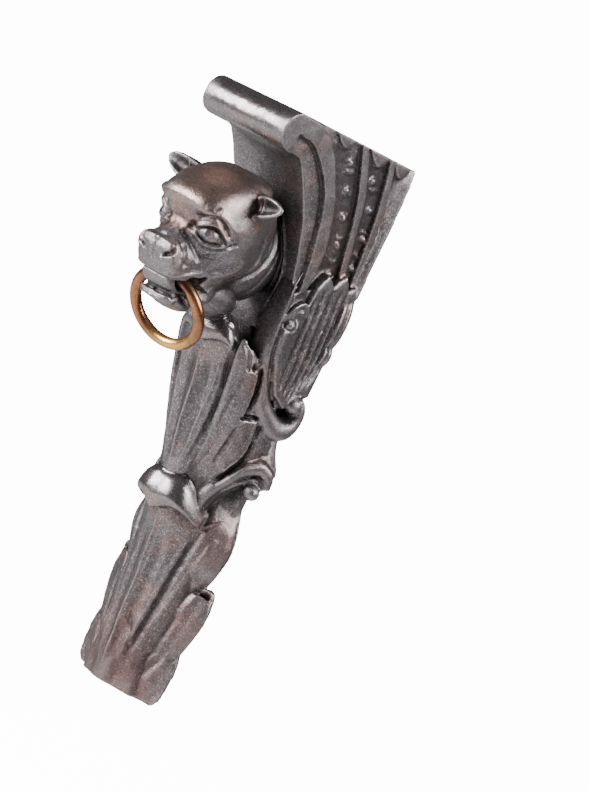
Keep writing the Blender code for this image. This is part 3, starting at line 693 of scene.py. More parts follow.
for across, out, down, thick, tall, hollow_by in flow(EAR, 6):
    dent = hollow_by * facing * np.exp(-((np.sin(turn) / 0.62) ** 4))
    ear_rings.append(np.column_stack([np.full_like(turn, across), out + thick * np.cos(turn) - dent,
                                      down + tall * np.sin(turn)]))
lump(ear_rings, mirror=True)
head = remesh(gather("head", clay), 0.75, 5)
clay = body_clay
ball((14.0, 108.4, 72.6), (6.4, 5.6, 5.0), 0, mirror=True)  # eyeball
print("head skin:", len(head.data.vertices), "points")

# %% [markdown]
# The way through the jaws must be as wide as the ring needs at every place while it swings. Near the
# middle that is little more than the wire, but the ring curves down on both sides of its bearing
# point, so the cutter deepens to the left and right by the same rule as the ring's inner edge.

# %% The way through the mouth
MOUTH_PIN = (2.2, 107.3, 98.7)
RING_RADIUS, WIRE_RADIUS, PLAY = 20.0, 3.0, 1.0
SKEW, SWUNG_IN = math.radians(11.0), math.radians(35.6)
FURTHEST_IN = 60.6  # degrees from straight down
REACH = 16.64  # how far along the bearing line the ring's inner edge is followed
PAST_THE_CHEEKS = 21.0
clear = WIRE_RADIUS + PLAY
rings = []
for place_along in [-PAST_THE_CHEEKS, *np.linspace(-REACH, REACH, 41), PAST_THE_CHEEKS]:
    along = min(max(place_along, -REACH), REACH)
    below = RING_RADIUS - math.sqrt((RING_RADIUS - WIRE_RADIUS) ** 2 - along**2) + PLAY
    hub = RING_RADIUS - math.sqrt(RING_RADIUS**2 - along**2)
    inmost = min(115, FURTHEST_IN + math.degrees(math.asin(clear / max(hub, clear))))
    loop = np.vstack([arc((0, 0), below, -5, -90 - inmost, 16), arc((0, 0), clear, 270 - inmost, 0, 12)])
    x, out = MOUTH_PIN[0] + place_along * math.cos(SKEW), MOUTH_PIN[1] - place_along * math.sin(SKEW)
    rings.append(np.column_stack([x + loop[:, 0] * math.sin(SKEW), out + loop[:, 0] * math.cos(SKEW),
                                  MOUTH_PIN[2] + loop[:, 1]]))
lump(rings)
gape = [(98.5, 91), (104, 95), (109, 98.2), (114, 100.4), (121, 101.2), (121, 106.4), (112, 106.6),
        (106, 104.6), (101, 99)]
for side in (1, -1):
    slab(gape, side * 10.4, side * 34)
for _ in range(3):  # the three cutters are the last lumps in the clay
    cutter = gather("mouth_cutter", [clay.pop()])
    face_outwards(cutter)
    cut = head.modifiers.new("cut", "BOOLEAN")
    cut.operation = "DIFFERENCE"
    cut.object = cutter
    bake(head)
    bpy.data.objects.remove(cutter)
print("mouth open:", len(head.data.vertices), "points")

# %% [markdown]
# ## One skin
# All the lumps are closed, so a voxel remesh can tell inside from outside and gives one body without
# inner walls. The voxel is about half a millimetre, which keeps the fillets' edges crisp.

# %% Joining the casting
casting = gather("corbel_relief", clay)
joined = bmesh.new()
joined.from_mesh(casting.data)
for part in (head, beads, sweep_wires("raised_lines")):
    joined.from_mesh(part.data)
    bpy.data.objects.remove(part)
joined.to_mesh(casting.data)
joined.free()
remesh(casting, GRAIN_OF_SKIN)


def read(what):
    """The casting's points or normals as rows."""
    flat = np.empty(len(casting.data.vertices) * 3, np.float32)
    casting.data.vertices.foreach_get(what, flat)
    return flat.reshape(-1, 3).astype(float)


def read_points():
    """The casting's points, as rows of across, out and down in millimetres."""
    x, y, z = read("co").T
    return np.stack([x / MM, -y / MM, BEARING_ABOVE_ORIGIN - z / MM], -1)


def read_normals():
    return read("normal") * (1, -1, -1)


def write_points(points):
    casting.data.vertices.foreach_set("co", place(points).astype(np.float32).ravel())
    casting.data.update()


def relax(points, amount, rounds):
    """Moves every point towards the mean of its neighbours, by `amount` for each point."""
    edges = np.empty(len(casting.data.edges) * 2, np.int32)
    casting.data.edges.foreach_get("vertices", edges)
    edges = edges.reshape(-1, 2)
    neighbours = np.bincount(edges.ravel(), minlength=len(points)).astype(float)
    amount = np.broadcast_to(amount, len(points))[:, None]
    for _ in range(rounds):
        mean = np.empty_like(points)
        for axis in range(3):
            column = points[:, axis]
            total = np.bincount(edges[:, 0], column[edges[:, 1]], len(points))
            total += np.bincount(edges[:, 1], column[edges[:, 0]], len(points))
            mean[:, axis] = total / neighbours
        points = points + (mean - points) * amount
    return points


skin = relax(read_points(), 0.5, 3)
low_and_thin = np.clip((skin[:, 2] - 185) / 4, 0, 1) * np.clip((7 - skin[:, 1]) / 3, 0, 1)
skin = relax(skin, 0.5 * low_and_thin, 8)
NARROWED = [(115, 0), (150, 2.5), (165, 4), (190, 4), (198, 0.8), (236, 0.8), (248, 4.4), (308, 4.4)]
narrowing = np.interp(skin[:, 2], *np.transpose(NARROWED))
skin[:, 0] += narrowing * np.clip((-14 - skin[:, 0]) / 9, 0, 1)  # the left side is a little narrower
write_points(skin)
print("one skin:", len(skin), "points")

# %% [markdown]
# ## Carving
# A stroke is a smooth line on the skin. Points near it move along their normals, most at the line
# and less towards the stroke's width. A positive height raises a rib, a negative one cuts a groove.
# Each station is first moved to the nearest place on the skin, so rough places are good enough.

# %% The carving tool
STROKE_STEP = 0.6  # between the tool's places along a stroke
END_TAPER = 0.18  # the share of a stroke at each end over which it fades
finder = kdtree.KDTree(len(skin))
for index, point in enumerate(skin):
    finder.insert(point, index)
finder.balance()
worked = np.zeros(len(skin))


def carve(stations, width, height, sharp=2.0, tapered=True, mirror=True):
    """Raises or cuts one stroke, and its mirror image. A single station makes a boss or a pit."""
    global skin
    normals = read_normals()
    for side in (1, -1) if mirror else (1,):
        line = np.asarray(stations, float).reshape(-1, 3) * (side, 1, 1)
        if len(line) > 1:
            longest = np.linalg.norm(np.diff(line, axis=0), axis=1).max()
            line = flow(line, max(4, int(longest / STROKE_STEP)))
        line = skin[[finder.find(p)[1] for p in line]]
        if len(line) > 4:
            for _ in range(3):
                line[1:-1] = (line[:-2] + 2 * line[1:-1] + line[2:]) / 4
        low, high = line.min(0) - width, line.max(0) + width
        close = np.where(((skin > low) & (skin < high)).all(1))[0]
        gap = np.full(len(close), np.inf)
        spot = np.zeros(len(close), int)
        for i, p in enumerate(line):
            d = np.linalg.norm(skin[close] - p, axis=1)
            better = d < gap
            gap[better], spot[better] = d[better], i
        reach = gap < width
        close, gap, spot = close[reach], gap[reach] / width, spot[reach]
        along = spot / max(len(line) - 1, 1)
        facing = np.zeros_like(line)
        np.add.at(facing, spot, normals[close])
        facing = np.array([facing[max(i - 3, 0):i + 4].sum(0) for i in range(len(line))])
        facing /= np.linalg.norm(facing, axis=1)[:, None] + 1e-9
        same_side = (normals[close] * facing[spot]).sum(1) > 0.0
        strength = (1 - gap**sharp) ** 2 * same_side
        if tapered and len(line) > 1:
            strength *= np.clip(np.minimum(along, 1 - along) / END_TAPER, 0, 1) ** 0.7
        skin[close] += facing[spot] * (height * strength)[:, None]
        worked[close] = np.maximum(worked[close], strength)
    write_points(skin)


print("carving tool ready")

# %% [markdown]
# The face comes first: the brow's overhang, the eyes with their lids, the nose pad, the lips and
# the folds of the jaw.

# %% Carving the face
carve([(14.5, 120.4, 62), (18, 117.5, 61.6), (20.8, 114, 61.8), (23, 109, 64), (24.2, 103.6, 68)], 3.0, 0.5)
carve([(10.4, 118, 68), (12.6, 117.4, 66.8), (16.2, 117.3, 65.4), (19.5, 115.5, 64.2), (21.3, 111.9, 64.9),
       (22.4, 108, 67.2), (23.4, 104, 70)], 2.0, -1.5)
carve([(19.6, 114.7, 58.8), (19.7, 115.2, 61), (19.8, 115.6, 63)], 1.3, 1.0)
carve([(8.6, 116.4, 72.6)], 3.4, -1.6)  # inner corner of the eye
carve([(9.5, 115.5, 73.2), (12.9, 115.1, 69.9), (16.8, 114.4, 67.8), (19.9, 111.6, 67.4),
       (21.4, 107.7, 69.6), (22.8, 104.2, 71.9), (23.8, 101.6, 73.8)], 1.8, 1.5)  # upper lid
carve([(10.4, 115.2, 73.6), (13.8, 114.5, 71.2), (17.4, 113, 69.6), (20, 110, 69.9), (21.4, 106.8, 71.6),
       (22.8, 103.6, 73.4)], 1.0, -0.8)
carve([(9.6, 115.3, 74.6), (12.5, 113, 76.9), (15.2, 110.6, 78.2), (18.5, 107.4, 77.6), (21.1, 105.1, 75.9),
       (23.4, 101.6, 74.2)], 1.4, 1.2)  # lower lid
carve([(11.4, 114.2, 75), (14.4, 112, 76.5), (17.6, 109.4, 76.3), (20.4, 106.4, 74.8)], 0.9, -0.7)
carve([(13.4, 112.3, 80.2), (16.3, 108.8, 80.4), (19.2, 105.9, 79.4), (22.3, 102.7, 77.2),
       (24, 100.3, 74.2)], 1.5, 0.8)
carve([(23, 102.6, 74.8), (24, 100.6, 73.2), (25.2, 98, 70.4)], 1.5, -0.9)
carve([(17.4, 112.4, 72.7)], 2.3, -0.7, sharp=4)  # iris
carve([(4.6, 117.6, 75.4), (7.8, 116.8, 77.4), (10.5, 115.2, 79.6), (14.6, 111.9, 83.4), (17, 108, 86.6)],
      2.8, -1.4)
carve([(0.3, 117.2, 72), (0, 120.2, 78.4), (0, 123, 82)], 3.4, 0.6, mirror=False)  # bridge
carve([(0, 125, 84.6), (5, 124.8, 84.6), (9.2, 124.4, 85.2)], 2.2, 0.9, tapered=False)
carve([(10.8, 123.6, 85.4), (11.4, 123.4, 88), (9.6, 124, 90), (6.4, 124.2, 92)], 2.0, -2.2)  # nostril
carve([(4.6, 124, 93.6), (9.2, 124, 92), (12.6, 122.4, 90)], 1.3, 0.8)
carve([(8.8, 121.1, 82.6), (12.1, 121.8, 85.2), (13.4, 121.7, 88.6), (13.9, 120.2, 91.0),
       (14.8, 117.7, 92.4)], 1.6, 1.3)
carve([(10.4, 119.4, 82.4), (14.2, 118.2, 86), (15.4, 117, 89.6), (16.2, 114.6, 92.4)], 2.0, -1.0)
carve([(0, 125.8, 87), (0, 125.2, 90.5), (0, 123.8, 95)], 1.4, -0.6, mirror=False)
carve([(0, 119.6, 99.8), (5.5, 119.2, 99.8), (11.4, 117.6, 98.8), (13.8, 114.6, 97.8), (16, 108.2, 93.8),
       (18.3, 102, 90)], 1.3, 0.7)
carve([(0, 119, 101.5), (6, 118.6, 101.4), (10.6, 117, 101)], 0.9, -0.7, tapered=False)
carve([(0, 112.6, 108.0), (6, 111.8, 107.9), (10.4, 108, 107.6)], 1.5, -1.6, tapered=False)
carve([(0, 112, 112.4), (6, 111, 112.2), (10.4, 107, 111.4)], 1.5, 0.6, tapered=False)
carve([(25.2, 88.5, 78), (24, 90.5, 80.6), (22.4, 93.6, 83.2), (20.4, 97, 86.6), (18.6, 101.2, 89.4)],
      2.4, -0.9)
carve([(25, 84, 80), (22.6, 88.6, 84.6), (20, 92.4, 88.2), (18.2, 97, 90.4)], 2.4, 0.9)
carve([(20, 79, 60), (19, 72, 67), (18.4, 70, 76), (17.6, 75, 85), (17.8, 87, 90.6)], 2.8, -1.3)
carve([(14, 62, 57), (16.9, 59.6, 67.5), (17.8, 64.8, 79.8), (15.6, 73.8, 88.4), (15, 84, 93)], 2.6, -1.0)
carve([(13, 56.6, 57.5), (16.1, 54.4, 68.8), (15.9, 56.4, 83.5), (12.6, 60.3, 93.7)], 2.2, -0.8)
carve([(9.6, 61, 47), (11.6, 59, 51.5), (13.7, 55.6, 57.8), (15.6, 52.1, 64.8), (17, 48.9, 72.4),
       (16.4, 46, 80), (12.6, 42.1, 87.8), (10, 40, 95), (7, 38, 103)], 1.2, 1.0)  # collar
carve([(16.4, 90.5, 104.2), (13.6, 76, 105.6), (13.4, 63, 107), (16.5, 56.6, 109.1)], 1.3, 0.8)
carve([(27.1, 98.6, 45.8), (27.6, 94, 49), (27.9, 97.6, 53)], 1.3, 1.1)
print("face carved")

# %% [markdown]
# The leaves come next. A leaf has a raised midrib, side veins that run together towards the root,
# and dark hollows behind the rims of its lobes. Grooves between the lobes part them further.

# %% Carving the leaves
carve([(0, 57.6, 126.5), (0, 53.4, 138), (0, 51, 148), (0, 48.6, 159), (0, 43.8, 175), (0, 39.4, 188)],
      1.6, 0.8, mirror=False)
carve([(5.6, 56, 128), (5, 51.6, 142), (4.4, 48.4, 156), (3.6, 44.6, 170), (2.4, 40.6, 184)], 4.0, -1.1)
carve([(12.8, 55.5, 126), (12.4, 52.3, 136), (11.4, 49.6, 148), (9.4, 47, 160), (8, 44, 170),
       (6.2, 41, 180), (4.6, 38.4, 189)], 1.4, 0.7)
UPPER_PARTING = [(17.2, 56, 122), (17.2, 54, 129), (17, 50.6, 138), (16, 47.6, 148), (14.2, 44.2, 160),
                 (12.2, 41.8, 170), (9.4, 39.2, 180), (6.8, 36.8, 189)]
carve(UPPER_PARTING, 2.0, -1.3)
carve([(21.4, 54, 120), (20.8, 50, 136), (19, 45, 150), (16.6, 41, 164), (13, 38, 177)], 1.6, 0.5)
carve([(24.6, 46.6, 134), (23.6, 43, 146), (21.4, 39.6, 158), (18.4, 37, 170), (14.2, 35.6, 180),
       (10.6, 34, 189)], 1.8, -0.7)
carve([(25.8, 36, 155), (24.2, 35, 161.4), (22.2, 33.8, 169.5), (19.8, 32.6, 178)], 1.4, -1.0)
carve([(27.2, 34, 153.6), (25.6, 33.4, 161.4), (23.5, 32.4, 169.5), (20.8, 31.4, 177.6)], 1.1, 0.7)
carve([(17.8, 55, 118.6), (20.4, 52.5, 113.2), (24, 48.5, 114.2)], 2.2, -1.2)
carve([(22.1, 55.6, 115.4), (23.5, 54.5, 115.8), (25, 51.5, 119.5), (25.8, 48.8, 124.7),
       (26.1, 47.9, 127.4)], 1.8, -1.2)
carve([(26, 48.2, 128.1), (25.2, 47.5, 133.9), (23.6, 46.4, 140.9), (21.9, 44.8, 149.1),
       (19.5, 42.5, 157.5)], 1.8, -0.8)
LEAF_SIDE = [(28, 42.3, 122.7), (29, 40.6, 126.7), (28.9, 38.2, 133.2), (28.2, 36.2, 140.2),
             (27.8, 35.2, 146.1), (27.4, 35.2, 150.6)]
carve(LEAF_SIDE, 2.6, -2.0)
carve(LEAF_SIDE, 1.4, -1.2)
carve([(26.3, 47.6, 127.4), (26.8, 45.4, 126.9), (27.1, 43, 127.2), (27.6, 41.6, 128.7), (27.4, 40, 133.2),
       (27.0, 38.6, 139), (26.6, 37.4, 146), (26.4, 36.8, 151.7)], 1.1, 0.8)
LOBE_SIDE = [(29.6, 25.2, 150.4), (29.4, 22.4, 156), (28.7, 20.8, 163.1), (27.4, 21, 170.2),
             (25.5, 22.8, 177.1), (23.4, 25, 182.9), (21, 26.4, 188.7)]
carve(LOBE_SIDE, 3.2, -2.2)
carve(LOBE_SIDE, 1.6, -1.2)
carve([(26.4, 36.5, 152.5), (27.7, 33.7, 151.4), (28.3, 30.2, 150.7), (28.9, 27.6, 150.4), (28.5, 26, 154),
       (27.9, 24, 160.7), (27.2, 23.6, 166.5), (25.9, 25, 172.3), (23.7, 26, 178.2), (21.3, 26.6, 184.1)],
      1.2, 1.0)
carve([(26.6, 36, 150), (27.9, 32, 148.3), (29.0, 29.1, 147.9)], 2.0, -2.2, tapered=False)
carve([(26.5, 44.7, 124.4)], 2.4, -2.8)

carve([(0, 30, 215), (0, 27.4, 222), (0, 24.8, 232), (0, 22.8, 246), (0, 20.9, 262), (0, 19, 277),
       (0, 16.5, 293), (0, 14.4, 306)], 1.6, 0.8, mirror=False)
carve([(7, 27.6, 219), (6.6, 22.4, 238), (5.8, 19.6, 258), (4.6, 17.8, 278), (3, 16, 296)], 4.4, -1.3)
carve([(19.4, 18.4, 213.5), (19.2, 17.2, 220), (17.6, 16.6, 230), (15.9, 16, 242), (14.6, 15.2, 253),
       (13.3, 14.6, 264), (11.5, 14, 277), (9.2, 13.2, 290)], 3.2, -1.3)
carve([(17.4, 20, 216), (15.6, 18.6, 230), (13.4, 17.6, 246), (11.4, 16.6, 264), (8.6, 15.6, 280),
       (6, 14.6, 294)], 2.4, 0.8)
carve([(3.8, 19.6, 266), (6.2, 18, 273), (8.2, 16, 280), (9.2, 15, 286)], 2.4, -0.6, mirror=False)
carve([(27, 11.6, 214), (26, 12.4, 224), (23.4, 12.6, 234), (20.8, 12.6, 246), (18.4, 12.4, 258),
       (16.4, 12, 270)], 2.6, 0.9)
carve([(34, 4, 250), (32.8, 4.6, 258), (31, 5, 268), (28.4, 5, 280), (26, 5, 290)], 3.4, 0.5)
carve([(25.4, 10.6, 256), (24, 10.8, 266), (22, 10.8, 278), (19.4, 10.6, 292)], 2.6, -0.9)
carve([(19, 16, 212.4), (21.4, 14.6, 209.4), (23.6, 12.4, 206.6), (26, 10, 204.6)], 1.2, 0.7)
print("leaves carved")

# %% [markdown]
# The palmette's grooves all run down to the scroll's knob, with a fine vein between each pair. The
# drilled eye beside them sits under a pointed hood. Shallow ripples cross the flutes by the beads.

# %% Carving the palmettes
FAN_GROOVES = [
    [(31.2, 80), (30.6, 88), (29.6, 100), (28.3, 112), (26.6, 122), (24, 130)],
    [(26.8, 73), (25.9, 82.7), (25.2, 90), (24.2, 98), (22.6, 106), (21.6, 114), (20.6, 124), (19.6, 132)],
    [(21.3, 72.4), (19.6, 80), (18.9, 88.6), (18, 96), (16.6, 104), (15.6, 112), (15.8, 124), (16.4, 133)],
    [(14.4, 70), (13.6, 82), (12.6, 92), (11.6, 101), (11, 110), (11.8, 121), (13.6, 131)],
    [(8.9, 71.4), (8.6, 84), (8, 96), (7.2, 106), (7.6, 116), (10.4, 127)],
    [(4.2, 74), (3.9, 86), (4, 98), (3.6, 106), (4, 115), (6.6, 124)],
]
for groove in FAN_GROOVES:
    carve([(31.4, *p) for p in groove], 1.7, -1.5)
for left, right in zip(FAN_GROOVES, FAN_GROOVES[1:]):
    between = [((a[0] + b[0]) / 2, (a[1] + b[1]) / 2) for a, b in zip(left, right)]
    carve([(31.6, *p) for p in between[1:]], 1.2, 0.5)
carve([(31.0 - 2.0 * math.cos(t), 40.2 + 1.9 * math.cos(t), 97.2 + 2.8 * math.sin(t))
       for t in np.linspace(0, 2 * np.pi, 13)], 1.3, -1.2, tapered=False)
for middle in FLUTE_MIDDLES:
    for (out, down), (next_out, next_down) in zip(middle[:-1], middle[1:]):
        out, down = (out + next_out) / 2, (down + next_down) / 2
        carve([(CORE_HALF_WIDTH, out - 3.2, down - 2.6), (CORE_HALF_WIDTH, out, down - 0.6),
               (CORE_HALF_WIDTH, out + 3.2, down - 1.6)], 1.5, 0.5)
print("palmettes and flutes carved")

# %% [markdown]
# ## Finish of the metal
# Sand casting and long handling leave no surface quite smooth. Two cloud textures move the skin by
# a fraction of a millimetre, and a final thinning keeps the mesh light while it spends its triangles
# where the form bends.

# %% Flat faces, unevenness and thinning
FLAT_WITHIN = 2.5  # the bearing face and the back stay flat, and what lies near them changes less
skin = relax(skin, 0.35 * worked, 2)
write_points(skin)
free = np.clip(np.minimum(skin[:, 1], skin[:, 2]) / FLAT_WITHIN, 0, 1)
rough = casting.vertex_groups.new(name="rough")
for level in range(1, 11):
    chosen = np.where(np.ceil(free * 10).astype(int) == level)[0]
    rough.add(chosen.tolist(), level / 10, "REPLACE")
for name, cloud_size, height in (("waves", 9.0, 0.5), ("grit", 2.2, 0.22)):
    texture = bpy.data.textures.new(name, "CLOUDS")
    texture.noise_scale = cloud_size * MM
    texture.noise_depth = 2
    uneven = casting.modifiers.new(name, "DISPLACE")
    uneven.texture = texture
    uneven.strength = height * MM
    uneven.mid_level = 0.5
    uneven.vertex_group = "rough"
bake(casting)
casting.vertex_groups.clear()
skin = read_points()
skin[:, 1] = np.maximum(skin[:, 1], 0.0)
skin[:, 2] = np.clip(skin[:, 2], 0.0, HEIGHT)
write_points(skin)
thin = casting.modifiers.new("thin", "DECIMATE")
thin.ratio = TRIANGLES / (2 * len(casting.data.polygons))
bake(casting)
casting.data.validate()
casting.data.shade_smooth()
print("triangles:", sum(len(p.vertices) - 2 for p in casting.data.polygons))

# %% [markdown]
# Painted shade in the hollows and painted highlight on the ridges follow the relief. If the skin is relaxed
# a long way, hollows rise towards it and ridges sink, so the distance that each point moves tells how deep
# it lies. The finish reads it to paint them.

# %% How deep every point lies
LONG_WAY = 90  # rounds
skin = read_points()
depth = ((relax(skin, 1.0, LONG_WAY) - skin) * read_normals()).sum(1)
casting.data.attributes.new("depth", "FLOAT", "POINT").data.foreach_set("value", depth.astype(np.float32))
print("depth in mm, from ridges to hollows:", np.percentile(depth, (2, 25, 50, 75, 98)).round(2))

# %% [markdown]
# ## The ring
# The ring is a round wire bent to a circle, so two numbers describe it. A Geometry Nodes tree sweeps
# a small circle round a large one, which keeps both as named inputs.

# %% The copper ring
RING_INPUTS = {"Ring radius": "Float", "Wire radius": "Float", "Finish": "Material"}
ring_tree, into, ring_keys = geometry_tree("bent_wire_ring", RING_INPUTS)
path = node_link(ring_tree, "GeometryNodeCurvePrimitiveCircle",
                 [("Resolution", 160), ("Radius", into["Ring radius"])])
wire = node_link(ring_tree, "GeometryNodeCurvePrimitiveCircle",
                 [("Resolution", 32), ("Radius", into["Wire radius"])])
swept = node_link(ring_tree, "GeometryNodeCurveToMesh",
                  [("Curve", path.outputs["Curve"]), ("Profile Curve", wire.outputs["Curve"])])
end_tree(ring_tree, swept.outputs["Mesh"], into["Finish"])

ring = mesh_object("copper_ring", np.zeros((1, 3)))
run_tree(ring, ring_tree, ring_keys,
         {"Ring radius": RING_RADIUS * MM, "Wire radius": WIRE_RADIUS * MM, "Finish": copper})
axis = Vector((math.cos(SKEW), math.sin(SKEW), 0))
up = Vector((math.sin(SKEW) * math.sin(SWUNG_IN), -math.cos(SKEW) * math.sin(SWUNG_IN), math.cos(SWUNG_IN)))
lie = Matrix((axis, up, axis.cross(up))).transposed().to_4x4()
lie.translation = Vector(place(MOUTH_PIN)) - up * RING_RADIUS * MM
ring.data.transform(lie)
face_outwards(ring)
ring.data.shade_smooth()
print("ring triangles:", sum(len(p.vertices) - 2 for p in ring.data.polygons))

# %% [markdown]
# ## Finishes
# Three shader groups are built once. The first gives the fine grain that a sand mould leaves, and the
# second finds, from the shape itself, rubbed edges and the small hollows that get painted shade. The third
# gives slow clouds of warmer and cooler patina. The iron uses all three, and the copper the first and the
# third. All work from the object's own coordinates, so a pattern keeps its size in millimetres everywhere.

# %% Shared shader groups
PER_MM = 1000.0


def shader_group(name, control, outputs):
    """An empty group with one float input and some float outputs, and the sockets at its ends."""
    group = bpy.data.node_groups.new(name, "ShaderNodeTree")
    socket = group.interface.new_socket(control, in_out="INPUT", socket_type="NodeSocketFloat")
    socket.default_value = 1.0
    for label in outputs:
        group.interface.new_socket(label, in_out="OUTPUT", socket_type="NodeSocketFloat")
    ends = group.nodes.new("NodeGroupInput").outputs[control], group.nodes.new("NodeGroupOutput").inputs
    return group, *ends


def own_place(tree):
    node = tree.nodes.get("Texture Coordinate") or tree.nodes.new("ShaderNodeTexCoord")
    return node.outputs["Object"]


def noise(tree, scale, detail=3.0, roughness=0.6, distortion=0.0):
    inputs = [("Vector", own_place(tree)), ("Scale", scale), ("Detail", detail), ("Roughness", roughness),
              ("Distortion", distortion)]
    return node_link(tree, "ShaderNodeTexNoise", inputs).outputs["Fac"]


def spread(tree, value, low, high):
    """Maps low..high to 0..1 and holds both ends."""
    inputs = [("Value", value), ("From Min", low), ("From Max", high)]
    return node_link(tree, "ShaderNodeMapRange", inputs, interpolation_type="SMOOTHSTEP").outputs["Result"]


def maths(tree, operation, a, b):
    return node_link(tree, "ShaderNodeMath", [(0, a), (1, b)], operation=operation).outputs[0]


def times(tree, a, b):
    return maths(tree, "MULTIPLY", a, b)


def inverse(tree, mask):
    return maths(tree, "SUBTRACT", 1.0, mask)


grain, control, out = shader_group("cast_grain", "Size", ("Height", "Speckle", "Pits"))
sand = noise(grain, maths(grain, "DIVIDE", 1.05 * PER_MM, control), 4.0, 0.72)
dust = noise(grain, maths(grain, "DIVIDE", 2.3 * PER_MM, control), 2.0, 0.6)
grain.links.new(maths(grain, "ADD", times(grain, sand, 0.65), times(grain, dust, 0.35)), out["Height"])
grain.links.new(spread(grain, times(grain, sand, dust), 0.29, 0.38), out["Speckle"])
grain.links.new(inverse(grain, spread(grain, sand, 0.36, 0.50)), out["Pits"])

# This group gives real wear on rubbed edges, and painted shade that darkens small hollows. Both are found
# from the shape's pointiness.
wear_and_shade_group, control, out = shader_group("rubbed_edges_and_painted_shade", "Reach", ("Worn", "Painted shade"))
shape = wear_and_shade_group.nodes.new("ShaderNodeNewGeometry").outputs["Pointiness"]
broken = times(wear_and_shade_group, maths(wear_and_shade_group, "SUBTRACT", noise(wear_and_shade_group, 0.35 * PER_MM, 4.0, 0.7), 0.5), 0.06)
edge = maths(wear_and_shade_group, "ADD", shape, broken)
wear_and_shade_group.links.new(spread(wear_and_shade_group, edge, 0.515, maths(wear_and_shade_group, "ADD", 0.5, times(wear_and_shade_group, control, 0.075))), out["Worn"])
deepest = maths(wear_and_shade_group, "SUBTRACT", 0.5, times(wear_and_shade_group, control, 0.05))
wear_and_shade_group.links.new(inverse(wear_and_shade_group, spread(wear_and_shade_group, edge, deepest, 0.493)), out["Painted shade"])

cloud, control, out = shader_group("patina_clouds", "Size", ("Warm", "Cool", "Sheen"))
slow = maths(cloud, "DIVIDE", 0.03 * PER_MM, control)
quick = maths(cloud, "DIVIDE", 0.5 * PER_MM, control)
cloud.links.new(spread(cloud, noise(cloud, slow, 5.0, 0.62, 0.6), 0.47, 0.68), out["Warm"])
cloud.links.new(spread(cloud, noise(cloud, quick, 4.0, 0.66), 0.45, 0.70), out["Cool"])
cloud.links.new(noise(cloud, times(cloud, slow, 2.3), 3.0, 0.55), out["Sheen"])
print("shared groups:", grain.name, wear_and_shade_group.name, cloud.name)

# %% [markdown]
# A finish is laid on mostly in the order that time does it: the dark patina first, then warmer and cooler
# clouds over it, then painted highlight on what stands out and painted shade in the hollows, and last the
# bare metal that hands rub out on the high places.
# Each coat is one row: its colour, its mask and its strength.

# %% Mixing the iron and the copper
BUMP_DEPTH = 0.35 * MM


def use_group(tree, group, control=1.0):
    return node_link(tree, "ShaderNodeGroup", [(0, control)], node_tree=group).outputs


def coats(tree, colour, layers):
    """Lays coats over a colour in turn. Each has its own colour, its mask and its strength."""
    for paint, mask, strength in layers:
        inputs = [(0, times(tree, mask, strength)), (6, colour), (7, (*paint, 1))]
        colour = node_link(tree, "ShaderNodeMix", inputs, data_type="RGBA").outputs[2]
    return colour


def near(tree, spot, radius, soft):
    """A mask that is 1 round a place given as across, out and down, in millimetres."""
    inputs = [(0, own_place(tree)), (1, tuple(place(spot)))]
    apart = node_link(tree, "ShaderNodeVectorMath", inputs, operation="DISTANCE").outputs["Value"]
    return inverse(tree, spread(tree, apart, (radius - soft) * MM, (radius + soft) * MM))


def round_spots(tree, mask, spots):
    """Adds round spots to a mask. Each has its place, its radius and how soft its border is."""
    for spot in spots:
        mask = maths(tree, "MAXIMUM", mask, near(tree, *spot))
    return mask


def shader_tree(material):
    material.use_nodes = True
    return material.node_tree


def finish_surface(tree, metallic, bump, colour, roughness, height):
    """Joins the finished masks to the material's own shader."""
    shader = tree.nodes["Principled BSDF"]
    shader.inputs["Metallic"].default_value = metallic
    raised = node_link(tree, "ShaderNodeBump", [("Strength", bump), ("Distance", BUMP_DEPTH),
                                                ("Height", height)])
    tree.links.new(colour, shader.inputs["Base Color"])
    tree.links.new(roughness, shader.inputs["Roughness"])
    tree.links.new(raised.outputs["Normal"], shader.inputs["Normal"])


tree = shader_tree(iron)
grit, wear_and_shade, patina = use_group(tree, grain), use_group(tree, wear_and_shade_group), use_group(tree, cloud)
reddened = round_spots(tree, 0.0, [((0, 12, 304), 30, 26), ((30, 10, 214), 13, 8), ((33, 6, 262), 12, 10),
                                   ((30, 40, 130), 8, 8)])
handled = times(tree, near(tree, (0, 112, 78), 22, 14), patina["Warm"])
rubbed_skull = times(tree, near(tree, (2, 108, 48), 15, 12), patina["Sheen"])
painted_light_depth = node_link(tree, "ShaderNodeAttribute", attribute_name="depth").outputs["Fac"]
colour = coats(tree, (0.074, 0.064, 0.067, 1), [
    ((0.130, 0.075, 0.062), patina["Warm"], 0.75),
    ((0.130, 0.138, 0.162), patina["Cool"], 0.40),
    ((0.120, 0.058, 0.048), reddened, 0.6),
    ((0.180, 0.105, 0.075), handled, 0.8),
    ((0.340, 0.165, 0.090), rubbed_skull, 0.9),
    ((0.030, 0.024, 0.024), grit["Pits"], 0.4),
    ((0.500, 0.460, 0.460), grit["Speckle"], 0.5),
    ((0.052, 0.033, 0.033), near(tree, (6, 12, 304), 30, 22), 0.45),  # the foot is darker
    # painted highlight: what stands out is made lighter; painted shade: what lies deep is made darker
    ((0.180, 0.160, 0.162), inverse(tree, spread(tree, painted_light_depth, -1.6, -0.3)), 0.25),  # what stands out
    ((0.026, 0.021, 0.021), spread(tree, painted_light_depth, 0.0, 1.1), 0.72),  # what lies deep
    # painted shade: small hollows are darkened
    ((0.016, 0.013, 0.013), wear_and_shade["Painted shade"], 0.75),
    ((0.420, 0.360, 0.350), wear_and_shade["Worn"], 0.3),
])
